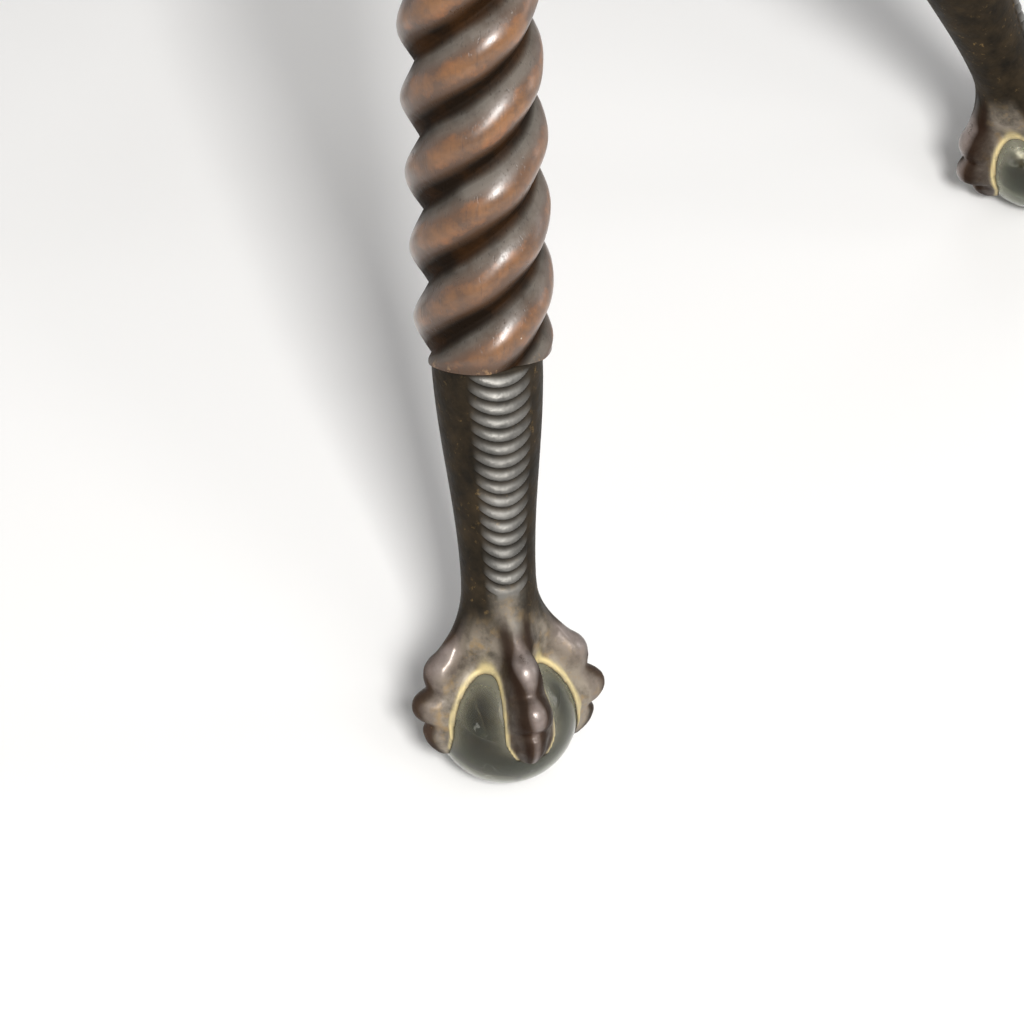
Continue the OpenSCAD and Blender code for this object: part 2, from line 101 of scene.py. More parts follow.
def off_axis(co: Vector) -> float:
    """Distance of a place from the axis of its frame."""
    return hypot(co.x, co.y)


def azimuth_of(co: Vector) -> float:
    """Angle of a place round the axis of its frame, in degrees."""
    return degrees(atan2(co.y, co.x))


def polar_of(co: Vector) -> float:
    """Angle of a place from the axis of its frame, in degrees."""
    return degrees(atan2(off_axis(co), co.z))


def wrapped(angle: float) -> float:
    """The same angle between -180 and 180 degrees."""
    return (angle + 540.0) % 360.0 - 180.0


@dataclass(frozen=True)
class Sizes:
    """Sizes shared by the pieces, in millimetres, as the solids have them."""
    base_h: float = 412.0
    splay: float = 24.0
    leg_circle_r: float = 70.0
    shoulder_drop: float = 42.0
    stretcher_h: float = 262.0
    hub_t: float = 60.0
    ball_r: float = 22.25
    ball_flat: float = 0.25
    foot_h: float = 120.5
    foot_turn: float = 13.0
    leg_ball_r: float = 21.0
    column_ball_r: float = 33.0

    @property
    def ball_z(self) -> float:
        """Height of a ball's centre over the floor."""
        return self.ball_r - self.ball_flat

    @property
    def shoulder_z(self) -> float:
        """Height of the middle of a leg's shoulder."""
        return self.base_h - self.shoulder_drop

    @property
    def foot_r(self) -> float:
        """Distance of a ball's centre from the stool's axis."""
        return self.leg_circle_r + (self.shoulder_z - self.ball_z) * tan(radians(self.splay))

    @property
    def leg_len(self) -> float:
        """Length along a leg from the ball's centre to the shoulder."""
        return (self.shoulder_z - self.ball_z) / cos_deg(self.splay)

    @property
    def leg_ball_t(self) -> float:
        """Place of the leg's own ball along the leg."""
        return (self.stretcher_h - self.ball_z) / cos_deg(self.splay)

    @property
    def leg_ball_at(self) -> float:
        """Distance of the leg's own ball from the stool's axis."""
        return self.foot_r - self.leg_ball_t * sin_deg(self.splay)

    @property
    def hub_bottom(self) -> float:
        """Height of the hub's lower end."""
        return self.base_h - self.hub_t

    @property
    def column_low(self) -> float:
        """Height of the column's lower end."""
        return self.stretcher_h - self.column_ball_r - 4.0


SIZES = Sizes()


def ball_matrix(side: Side) -> Matrix:
    """Place of an upright frame at the centre of a foot's ball, in millimetres."""
    return turn(side.value) @ Matrix.Translation((SIZES.foot_r, 0.0, SIZES.ball_z))


def leg_matrix(side: Side) -> Matrix:
    """Place of a leg's own frame, in millimetres, with the ball's centre as its origin."""
    return ball_matrix(side) @ turn(-SIZES.splay, "Y")


# ---- outlines -----------------------------------------------------------------------

def bead(low: float, high: float, radius: float, out: float, count: int = 14) -> list[Point]:
    """Points of a round bead between two heights, which stands out of a turned face."""
    return [(radius + out * sin(pi * i / count), low + (high - low) * (1 - cos(pi * i / count)) / 2)
            for i in range(count + 1)]


def swell(low: float, high: float, r0: float, r1: float, count: int = 16) -> list[Point]:
    """Points of a smooth swell from one height and radius to another."""
    return [(r0 + (r1 - r0) * (1 - cos(pi * i / count)) / 2, low + (high - low) * i / count)
            for i in range(count + 1)]


def ball_arc(centre: float, radius: float, a0: float, a1: float, count: int = 24) -> list[Point]:
    """Points of a turned ball's outline between two angles above its middle, in degrees."""
    angles = [radians(a0 + (a1 - a0) * i / count) for i in range(count + 1)]
    return [(radius * cos(a), centre + radius * sin(a)) for a in angles]


def smooth_table(rows: Sequence[Sequence[float]], at: float, column: int) -> float:
    """Reads a table with a smooth curve through its rows.

    Args:
        rows: Rows in rising order of their first number.
        at: Value of the first number to read at.
        column: Which number of the row to read.

    Returns:
        The value there, held at both ends.
    """
    if at <= rows[0][0]:
        return rows[0][column]
    for i in range(len(rows) - 1):
        x0, x1 = rows[i][0], rows[i + 1][0]
        if at <= x1:
            y0, y1 = rows[i][column], rows[i + 1][column]
            before, after = rows[max(i - 1, 0)], rows[min(i + 2, len(rows) - 1)]
            m0 = (y1 - before[column]) / max(x1 - before[0], 1e-9) * (x1 - x0)
            m1 = (after[column] - y0) / max(after[0] - x0, 1e-9) * (x1 - x0)
            u = (at - x0) / (x1 - x0)
            return ((2 * u**3 - 3 * u**2 + 1) * y0 + (u**3 - 2 * u**2 + u) * m0
                    + (3 * u**2 - 2 * u**3) * y1 + (u**3 - u**2) * m1)
    return rows[-1][column]


def ease(low: float, high: float, x: float) -> float:
    """Smooth step from 0 at low to 1 at high."""
    u = min(1.0, max(0.0, (x - low) / (high - low)))
    return u * u * (3 - 2 * u)


def fade(low: float, high: float, x: float) -> float:
    """Smooth step from 1 at low to 0 at high."""
    return 1 - ease(low, high, x)


# ---- mesh tools ---------------------------------------------------------------------

def link(thing: Thing) -> Thing:
    """Adds an object to the scene."""
    bpy.context.scene.collection.objects.link(thing)
    return thing


def new_thing(name: str, bm: Mesh) -> Thing:
    """Makes an object of a mesh, adds it to the scene and frees the mesh."""
    mesh = bpy.data.meshes.new(name)
    bm.to_mesh(mesh)
    bm.free()
    return link(bpy.data.objects.new(name, mesh))


def weld(bm: Mesh, gap: float, verts: Sequence[Vert] | None = None) -> None:
    """Merges vertices, or all of them, that are closer than a gap."""
    bmesh.ops.remove_doubles(bm, verts=bm.verts if verts is None else verts, dist=gap)


def move_out(v: Vert, old: float, new: float) -> None:
    """Moves a vertex from one radius to another."""
    v.co.x, v.co.y = v.co.x * new / old, v.co.y * new / old


def add_turned(bm: Mesh, points: Sequence[Point], steps: int = 96) -> list[Vert]:
    """Spins an outline about the axis of the mesh.

    Args:
        bm: Mesh that receives the shape.
        points: Outline as (radius, height) points in millimetres.
        steps: Steps of the full turn.

    Returns:
        The new vertices.
    """
    before = set(bm.verts)
    line = [bm.verts.new((max(r, 0.0), 0.0, z)) for r, z in points]
    edges = [bm.edges.new(pair) for pair in zip(line, line[1:])]
    bmesh.ops.spin(bm, geom=line + edges, cent=(0, 0, 0), axis=(0, 0, 1), dvec=(0, 0, 0),
                   angle=tau, steps=steps, use_merge=True, use_duplicate=False)
    fresh = [v for v in bm.verts if v not in before]
    weld(bm, 1e-4, fresh)
    return [v for v in bm.verts if v not in before]


def add_closed_turned(bm: Mesh, points: Sequence[Point], inner: float = 0.0, steps: int = 96) -> list[Vert]:
    """Spins an outline and closes it at an inner radius, or at the axis.

    Args:
        bm: Mesh that receives the shape.
        points: Outer outline from below.
        inner: Radius of the bore, or 0 for a solid piece.
        steps: Steps of the full turn.

    Returns:
        The new vertices.
    """
    low, high = points[0][1], points[-1][1]
    ring = [(inner, low), *points, (inner, high)]
    if inner > 0:
        ring.append((inner, low))
    return add_turned(bm, ring, steps)


@dataclass(frozen=True)
class Rope:
    """A rope twist: rounded ropes that wind round one axis and meet in sharp hollows."""
    radius: float
    depth: float
    lead: float
    ropes: int = 3
    fullness: float = 0.6

    def reach(self, angle: float) -> float:
        """Radius of the twist at an angle in degrees, with a hollow at 0."""
        u = (angle * self.ropes / 360.0) % 1.0 * 2 - 1
        round_back = (1 - cos(pi * u)) / 2
        return self.radius - self.depth * (self.fullness * u * u + (1 - self.fullness) * round_back)

    def add(self, bm: Mesh, low: float, high: float, phase: float, around: int, rise: float) -> list[Vert]:
        """Winds the twist into a mesh.

        Args:
            bm: Mesh that receives it.
            low: Height where it starts.
            high: Height where it ends.
            phase: Angle of a rope's crest at its start, in degrees.
            around: Vertices round the section.
            rise: Wanted rise of one step.

        Returns:
            The new vertices.
        """
        before = set(bm.verts)
        verts = bmesh.ops.create_circle(bm, segments=around, radius=self.radius, cap_ends=True)["verts"]
        shift = phase - 180.0 / self.ropes
        for v in verts:
            angle = azimuth_of(v.co)
            r = self.reach(angle - shift)
            v.co = Vector((r * cos_deg(angle), r * sin_deg(angle), low))
        edges = list({e for v in verts for e in v.link_edges})
        steps = max(8, round((high - low) / rise))
        out = bmesh.ops.spin(bm, geom=verts + edges, cent=(0, 0, low), axis=(0, 0, 1),
                             dvec=(0, 0, (high - low) / steps), angle=tau * (high - low) / self.lead,
                             steps=steps, use_merge=False, use_duplicate=False)
        rim = [g for g in out["geom_last"] if isinstance(g, bmesh.types.BMEdge)]
        bmesh.ops.edgeloop_fill(bm, edges=rim)
        return [v for v in bm.verts if v not in before]


@dataclass
class Piece:
    """One finished piece of the visual model."""
    name: str
    body: Body
    slot: Slot
    nodes: tuple[str, ...]
    material: Material
    crisp_angle: float = 38.0

    def turned(self, points: Sequence[Point], bore: float, steps: int,
               rubbed: tuple[float, float, float, float], soft: float = 0.5) -> None:
        """Makes a piece that is turned on the stool's axis.

        Args:
            points: Its outline from below.
            bore: Radius of its bore, or 0.
            steps: Steps of the full turn.
            rubbed: Least rubbing, what is added to it, and the radii where that starts and is full.
            soft: Width of its rounded edges.
        """
        least, more, start, full = rubbed
        bm = bmesh.new()
        add_closed_turned(bm, points, bore, steps)
        soften(bm, soft)
        mark(bm, "crest", lambda co: least + more * ease(start, full, off_axis(co)))
        self.make(bm)

    def make(self, bm: Mesh, place: Matrix | None = None, fix_normals: bool = True) -> Thing:
        """Turns a mesh in millimetres into a piece of the stool.

        Args:
            bm: The mesh, in its own frame; it is freed.
            place: Matrix from its own frame to the stool's, in millimetres.
            fix_normals: Whether the faces still have to be turned outwards.

        Returns:
            The new object, which rides on its body and stands for its CAD nodes.
        """
        own = bm.verts.layers.float_vector.get("own") or bm.verts.layers.float_vector.new("own")
        for v in bm.verts:
            v[own] = v.co * MM
        if fix_normals:
            bmesh.ops.recalc_face_normals(bm, faces=bm.faces)
        bmesh.ops.transform(bm, matrix=Matrix.Scale(MM, 4) @ (place or Matrix.Identity(4)), verts=bm.verts)
        piece = new_thing(self.name, bm)
        mesh = piece.data
        mesh.polygons.foreach_set("use_smooth", [True] * len(mesh.polygons))
        mesh.set_sharp_from_angle(angle=radians(self.crisp_angle))
        mesh.materials.append(self.material)
        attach(piece, self.body.value)
        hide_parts(*self.nodes)
        LOG.info("%s: %d faces on %s", self.name, len(mesh.polygons), self.body.value)
        return piece


def mark(bm: Mesh, name: str, value: Callable[[Vector], float]) -> None:
    """Stores a number for each vertex, worked out from its place.

    Args:
        bm: Mesh that receives the layer.
        name: Name of the layer, which a material reads.
        value: Gives the number at a place in the mesh's own frame.
    """
    layer = bm.verts.layers.float.get(name) or bm.verts.layers.float.new(name)
    for v in bm.verts:
        v[layer] = value(v.co)


def round_edges(bm: Mesh, edges: list[bmesh.types.BMEdge], width: float) -> None:
    """Rounds edges with a small bevel."""
    bmesh.ops.bevel(bm, geom=edges, offset=width, offset_type="OFFSET", segments=2, profile=0.5,
                    affect="EDGES", material=-1, clamp_overlap=True)


def soften(bm: Mesh, width: float = 0.5) -> None:
    """Rounds the crisp rings that a turner's tool leaves."""
    round_edges(bm, [e for e in bm.edges if len(e.link_faces) == 2 and e.calc_face_angle(0.0) > CRISP], width)
    weld(bm, 0.01)


# ---- shader tools -------------------------------------------------------------------

@dataclass
class Bench:
    """Adds nodes to one shader tree and joins them."""
    tree: bpy.types.NodeTree

    def add(self, kind: str, values: dict[str | int, Any] | None = None, **props: Any) -> bpy.types.Node:
        """Adds one node.

        Args:
            kind: Type name of the node.
            values: Input values, or sockets to join them to, by name or number.
            **props: Properties to set on the node.

        Returns:
            The new node.
        """
        node = self.tree.nodes.new(kind)
        for key, value in props.items():
            setattr(node, key, value)
        self.feed(node, values or {})
        return node

    def feed(self, node: bpy.types.Node, values: dict[str | int, Any]) -> None:
        """Gives each named input of a node its value, or joins it to a socket."""
        for key, value in values.items():
            if isinstance(value, Socket):
                self.tree.links.new(value, node.inputs[key])
            else:
                node.inputs[key].default_value = value

    def group(self, tree: bpy.types.NodeTree, **values: Any) -> bpy.types.bpy_prop_collection:
        """Adds a group, feeds its inputs and gives its outputs."""
        return self.add("ShaderNodeGroup", values, node_tree=tree).outputs

    def layer(self, name: str, kind: str = "Fac") -> Socket:
        """Reads a layer of the mesh."""
        return self.add("ShaderNodeAttribute", attribute_name=name).outputs[kind]

    def maths(self, operation: str, a: Any, b: Any = 0.0, clamp: bool = False) -> Socket:
        """Adds a Math node and gives its result."""
        return self.add("ShaderNodeMath", {0: a, 1: b}, operation=operation, use_clamp=clamp).outputs[0]

    def vector(self, operation: str, a: Any, b: Any) -> Socket:
        """Adds a Vector Math node and gives its result."""
        second = "Scale" if operation == "SCALE" else 1
        return self.add("ShaderNodeVectorMath", {0: a, second: b}, operation=operation).outputs[0]

    def times(self, a: Any, b: Any) -> Socket:
        """Multiplies two numbers."""
        return self.maths("MULTIPLY", a, b)

    def plus(self, a: Any, b: Any, clamp: bool = False) -> Socket:
        """Adds two numbers."""
        return self.maths("ADD", a, b, clamp)

    def blend(self, share: Any, a: Any, b: Any) -> Socket:
        """Adds a colour Mix node and gives its result."""
        a, b = (c if isinstance(c, Socket) else (*c, 1.0) for c in (a, b))
        return self.add("ShaderNodeMix", {0: share, 6: a, 7: b}, data_type="RGBA", blend_type="MIX").outputs[2]

    def coats(self, colour: Any, *coats: tuple[Any, Any]) -> Socket:
        """Lays coats over a first colour, each as its share and its colour."""
        for share, over in coats:
            colour = self.blend(share, colour, over)
        return colour

    def top(self, a: Any, b: Any) -> Socket:
        """Gives the larger of two numbers."""
        return self.maths("MAXIMUM", a, b)

    def seen(self) -> Socket:
        """Gives 1 on what the camera, gloss or glass sees, and 0 on what only gives light."""
        ray = self.add("ShaderNodeLightPath").outputs
        return self.top(ray["Is Camera Ray"], self.top(ray["Is Glossy Ray"], ray["Is Transmission Ray"]))

    def span(self, value: Any, low: float, high: float, to_low: float = 0.0, to_high: float = 1.0) -> Socket:
        """Adds a clamped Map Range node and gives its result."""
        return self.add("ShaderNodeMapRange", {0: value, 1: low, 2: high, 3: to_low, 4: to_high}).outputs[0]

    def bump(self, bsdf: bpy.types.Node, strength: float, distance: float, height: Socket) -> None:
        """Adds a Bump node in front of the shader's normal."""
        values = {"Strength": strength, "Distance": distance, "Height": height}
        self.feed(bsdf, {"Normal": self.add("ShaderNodeBump", values).outputs[0]})

    def noise(self, vector: Any, scale: Any, detail: float = 4.0, rough: float = 0.55) -> Socket:
        """Adds a Noise Texture node and gives its value."""
        return self.add("ShaderNodeTexNoise", {"Vector": vector, "Scale": scale, "Detail": detail,
                                               "Roughness": rough}).outputs[0]


class Groups:
    """Shader groups that several finishes use, each built once."""

    @staticmethod
    def _new(name: str, inputs: dict[str, float], outputs: Sequence[str]) -> tuple[Bench, Any, Any]:
        """Starts a group.

        Args:
            name: Name of the group.
            inputs: Its number inputs after the input Vector, with their usual values.
            outputs: Names of its number outputs.

        Returns:
            A bench on its tree, the sockets of its inputs and its output node.
        """
        tree = bpy.data.node_groups.new(name, "ShaderNodeTree")
        tree.interface.new_socket(name="Vector", in_out="INPUT", socket_type="NodeSocketVector")
        for key, value in inputs.items():
            tree.interface.new_socket(name=key, in_out="INPUT", socket_type="NodeSocketFloat").default_value = value
        for key in outputs:
            tree.interface.new_socket(name=key, in_out="OUTPUT", socket_type="NodeSocketFloat")
        bench = Bench(tree)
        return bench, bench.add("NodeGroupInput").outputs, bench.add("NodeGroupOutput")

    @staticmethod
    @cache
    def grain() -> bpy.types.NodeTree:
        """Wood grain along Z of its vector: streaks and pores.

        Returns:
            The group, with inputs Vector, Scale and Wander and outputs Streaks, Pores and Figure.
        """
        b, given, out = Groups._new("wood_grain", {"Scale": 1.0, "Wander": 0.004}, ("Streaks", "Pores", "Figure"))
        drift = b.add("ShaderNodeTexNoise", {"Vector": given[0], "Scale": 14.0, "Detail": 2.0}).outputs[1]
        moved = b.vector("ADD", given[0], b.vector("SCALE", drift, given[2]))
        sized = b.vector("SCALE", b.vector("MULTIPLY", moved, (1.0, 1.0, 0.07)), given[1])
        streaks, broad = b.noise(sized, 260.0, 5.0, 0.6), b.noise(sized, 60.0, 3.0, 0.5)
        both = b.add("ShaderNodeMix", {0: 0.45, 2: streaks, 3: broad}).outputs[0]
        rings = {"Vector": b.vector("MULTIPLY", b.vector("ADD", moved, PITH), (1.0, 1.0, 0.06)), "Scale": 50.0,
                 "Distortion": 2.2, "Detail": 3.0, "Detail Scale": 0.55, "Detail Roughness": 0.55}
        figure = b.add("ShaderNodeTexWave", rings, wave_type="RINGS", rings_direction="Z",
                       wave_profile="SAW").outputs[1]
        b.feed(out, {0: b.span(both, 0.34, 0.66), 1: b.span(b.noise(sized, 1500.0, 2.0, 0.5), 0.60, 0.72), 2: figure})
        return b.tree

    @staticmethod
    @cache
    def wear() -> bpy.types.NodeTree:
        """Broken-up wear: a height mask cut by noise.

        Returns:
            The group, with inputs Vector, Height, Start and Scale and the output Wear.
        """
        b, given, out = Groups._new("rubbed_wear", {"Height": 0.5, "Start": 0.6, "Scale": 90.0}, ("Wear",))
        ragged = b.noise(given[0], given[3], 6.0, 0.65)
        fine = b.times(b.maths("SUBTRACT", ragged, 0.5), 1.1)
        b.feed(out, {0: b.span(b.maths("SUBTRACT", b.plus(given[1], fine), given[2]), 0.0, 0.26)})
        return b.tree

    @staticmethod
    @cache
    def dust_and_sheen() -> bpy.types.NodeTree:
        """Pale specks and a thin film of dust on faces that look up, and a painted sheen on those faces.

        Returns:
            The group, with inputs Vector and Amount and outputs Film, Specks and UpSheen, the last a painted sheen
            where faces that look up would mirror the overhead light.
        """
        b, given, out = Groups._new("dust_and_up_sheen", {"Amount": 0.2}, ("Film", "Specks", "UpSheen"))
        up = b.add("ShaderNodeSeparateXYZ", {0: b.add("ShaderNodeNewGeometry").outputs["Normal"]}).outputs[2]
        cloud = b.noise(given[0], 70.0, 5.0, 0.6)
        film = b.times(b.span(up, 0.05, 0.85), b.span(cloud, 0.35, 0.7, 0.35, 1.0))
        dots = b.add("ShaderNodeTexVoronoi", {"Vector": given[0], "Scale": 230.0}).outputs["Distance"]
        rare = b.span(b.noise(given[0], 120.0, 2.0), 0.60, 0.68)
        # UpSheen is painted sheen: faces that look up are marked as if they mirrored the overhead light.
        b.feed(out, {0: b.times(film, given[1]), 1: b.times(b.span(dots, 0.10, 0.04), rare),
                     2: b.times(b.span(up, 0.22, 0.72), b.span(cloud, 0.30, 0.62, 0.25, 1.0))})
        return b.tree


def new_material(name: str) -> tuple[Material, Bench, bpy.types.Node]:
    """Starts a material.

    Args:
        name: Name of the material.

    Returns:
        The material, a bench on its tree and its Principled BSDF.
    """
    material = bpy.data.materials.new(name)
    material.use_nodes = True
    return material, Bench(material.node_tree), material.node_tree.nodes["Principled BSDF"]


def shade(colour: Colour, share: float) -> Colour:
    """The same colour, darker or lighter."""
    return tuple(share * c for c in colour)


@dataclass(frozen=True)
class StainedWood:
    """Dark-stained hardwood under an old varnish, rubbed through on its high places, with painted shade in its hollows
    and a painted sheen on their upper flanks.
    """
    name: str
    hollow: Colour
    body: Colour
    worn: Colour
    grain_scale: float = 1.0
    wear_start: float = 0.95
    wear_scale: float = 90.0
    gloss: float = 0.34
    film: float = 0.10
    # Strength of the painted sheen that greys the upper flanks of the hollows.
    haze: float = 0.35
    turn_grain: bool = False
    figure: float = 0.0
    dents: float = 1.6
    shine: float = 0.28
    coat: float = 0.16

    def build(self) -> Material:
        """Builds the material.

        Returns:
            The new material, which reads the layers own and crest.
        """
        material, b, bsdf = new_material(self.name)
        own, crest, tone, chips = b.layer("own", "Vector"), b.layer("crest"), b.layer("tone"), b.layer("chips")
        vector = own
        if self.turn_grain:
            vector = b.add("ShaderNodeMapping", {"Vector": own, "Rotation": (0.0, radians(90), 0.0)}).outputs[0]
        grain = b.group(Groups.grain(), Vector=vector, Scale=self.grain_scale)
        wear = b.group(Groups.wear(), Vector=own, Height=crest, Start=self.wear_start, Scale=self.wear_scale)
        dust_and_sheen = b.group(Groups.dust_and_sheen(), Vector=own, Amount=self.film)
        streaks, patchy = grain["Streaks"], b.noise(own, 55.0, 5.0, 0.6)
        golden = tuple(k * c for k, c in zip((0.72, 0.86, 1.05), self.worn))
        rubbed = b.coats(self.worn, (b.span(crest, 0.82, 0.99), golden), (b.times(streaks, 0.5), self.body))
        # Painted sheen: the upper flanks of the hollows are greyed as if they mirrored the overhead light.
        upper_flank_sheen = b.times(dust_and_sheen["UpSheen"], b.times(b.span(crest, 0.90, 0.58), b.span(crest, 0.0, 0.22)))
        pale = b.times(chips, b.span(b.noise(own, 330.0, 4.0, 0.7), 0.55, 0.63))
        colour = b.coats(
            self.hollow,
            # Darker towards the hollows, by the crest layer: the stain that gathers there, and painted shade.
            (b.span(crest, 0.25, 0.9), self.body),
            (b.times(streaks, 0.4), self.hollow),
            (b.span(patchy, 0.42, 0.62, 0.0, 0.5), shade(self.body, 0.55)),
            (b.times(wear["Wear"], b.span(patchy, 0.30, 0.6, 0.55, 1.0)), rubbed),
            (b.times(b.span(grain["Figure"], 0.35, 1.0), self.figure), shade(self.hollow, 1.3)),
            (tone, shade(self.hollow, 1.6)),
            # painted sheen on the upper flanks
            (b.times(upper_flank_sheen, self.haze), (0.215, 0.196, 0.172)),
            (dust_and_sheen["Film"], (0.20, 0.17, 0.145)),
            (dust_and_sheen["Specks"], (0.62, 0.58, 0.5)),
            (b.times(grain["Pores"], 0.3), shade(self.hollow, 0.4)),
            (b.times(pale, 0.55), (0.42, 0.25, 0.11)))
        smear = b.span(b.noise(own, 130.0, 6.0, 0.7), 0.3, 0.7, self.gloss - 0.08, self.gloss + 0.12)
        rough = b.plus(smear, b.span(crest, 0.1, 0.6, 0.18, 0.0))
        b.feed(bsdf, {
            "Base Color": colour,
            "Roughness": b.plus(rough, b.times(dust_and_sheen["Film"], 0.35), clamp=True),
            "Specular IOR Level": b.span(crest, 0.15, 0.75, 0.03, self.shine),
            "Coat Weight": b.span(crest, 0.55, 0.95, 0.0, self.coat),
            "Coat Roughness": 0.31})
        height = b.plus(b.times(grain["Pores"], -0.5), b.times(streaks, 0.25))
        b.bump(bsdf, 0.32, 0.0005, b.plus(height, b.times(b.noise(own, 190.0, 3.0, 0.5), self.dents)))
        return material


CAST_LAYERS = ("crest", "web", "rim", "toe", "band", "fold")


@dataclass(frozen=True)
class BronzedCasting:
    """Brown bronzed metal, dark in patches, rubbed on the high places and gilt in the webs, with painted shade in its
    folds and scale grooves and painted highlights on its toes, scales and ankle.
    """
    name: str = "bronzed_casting"
    hollow: Colour = (0.010, 0.0078, 0.0052)
    skin: Colour = (0.037, 0.026, 0.0145)
    toe: Colour = (0.066, 0.037, 0.025)
    rubbed: Colour = (0.185, 0.181, 0.170)
    gilt: Colour = (0.30, 0.19, 0.07)
    web: Colour = (0.285, 0.243, 0.192)
    # Colour of the painted shade in the folds beside the front and back toes.
    crease_shade: Colour = (0.019, 0.009, 0.0048)
    # Colour of the painted highlight on the toes' ridges and knuckles.
    knuckle_highlight: Colour = (0.33, 0.265, 0.238)
    leaf: Colour = (0.68, 0.56, 0.28)

    def build(self) -> Material:
        """Builds the material.

        Returns:
            The new material, which reads the layers own, crest, web, rim, toe, band and fold.
        """
        material, b, bsdf = new_material(self.name)
        own = b.layer("own", "Vector")
        crest, web, rim, toe, band, fold = (b.layer(name) for name in CAST_LAYERS)
        wear = b.group(Groups.wear(), Vector=own, Height=crest, Start=0.56, Scale=420.0)
        dust_and_sheen = b.group(Groups.dust_and_sheen(), Vector=own, Amount=0.10)
        mottle, broad = b.noise(own, 240.0, 6.0, 0.65), b.noise(own, 75.0, 4.0, 0.6)
        patchy = b.plus(b.times(mottle, 0.4), b.times(broad, 0.6))
        flecks = b.times(b.span(b.noise(own, 420.0, 4.0, 0.7), 0.60, 0.70), b.span(broad, 0.45, 0.62))
        # The web layer holds the pale web patina, and also painted light: a lit stripe down the ankle and the side
        # toes' faces that turn to the front toe.
        patina = b.times(web, b.span(b.noise(own, 150.0, 5.0, 0.65), 0.30, 0.58, 0.2, 1.0))
        spots = b.times(web, b.span(b.noise(own, 230.0, 4.0, 0.6), 0.52, 0.68))
        # Painted highlight along the toes' ridges and on their knuckles, read from the crest layer.
        toe_highlight = b.times(toe, b.span(crest, 0.16, 0.84))
        # Rubbed metal on the scale faces, which also stands for their painted highlight.
        face = b.times(band, b.span(crest, 0.05, 0.58))
        colour = b.coats(
            self.hollow,
            (b.span(patchy, 0.40, 0.64), self.skin),
            # Painted shade: the grooves under the shank's scales are darkened.
            (b.times(band, b.span(crest, 0.22, 0.05, 0.0, 0.8)), (0.022, 0.020, 0.017)),
            (b.times(toe, b.span(broad, 0.35, 0.65, 0.3, 0.85)), self.toe),
            (b.times(flecks, 0.5), self.gilt),
            (b.times(patina, 0.85), self.web),
            (b.times(spots, 0.62), self.gilt),
            # Painted shade in the folds beside the front and back toes.
            (b.times(fold, b.span(mottle, 0.35, 0.6, 0.75, 0.97)), self.crease_shade),
            # painted highlight on the toes' ridges and knuckles
            (b.times(toe_highlight, b.span(mottle, 0.3, 0.6, 0.35, 0.8)), self.knuckle_highlight),
            (b.times(wear["Wear"], 0.12), self.rubbed),
            # rubbed scale faces, partly painted highlight
            (b.times(face, b.span(patchy, 0.36, 0.60, 0.45, 0.95)), self.rubbed),
            (b.times(rim, b.span(mottle, 0.34, 0.52, 0.55, 1.0)), self.leaf),
            (dust_and_sheen["Film"], (0.16, 0.14, 0.12)))
        bare = b.times(band, b.span(crest, 0.1, 0.8, 0.30, 0.85))
        rough = b.plus(b.span(mottle, 0.3, 0.7, 0.30, 0.50), b.span(crest, 0.15, 0.8, 0.12, -0.04), clamp=True)
        rough = b.maths("SUBTRACT", rough, b.times(toe, 0.05))
        b.feed(bsdf, {
            "Base Color": colour,
            "Metallic": b.top(bare, b.span(crest, 0.1, 0.8, 0.12, 0.35)),
            "Roughness": b.plus(rough, b.times(band, 0.05)),
            "Specular IOR Level": b.top(b.span(crest, 0.2, 0.8, 0.05, 0.42), b.times(web, 0.30)),
            "Coat Weight": b.times(toe_highlight, 0.9),
            "Coat Roughness": 0.27})
        pits = b.times(b.noise(own, 900.0, 3.0, 0.6), 0.35)
        b.bump(bsdf, 0.38, 0.0005, b.plus(pits, b.noise(own, 300.0, 3.0, 0.5)))
        return material


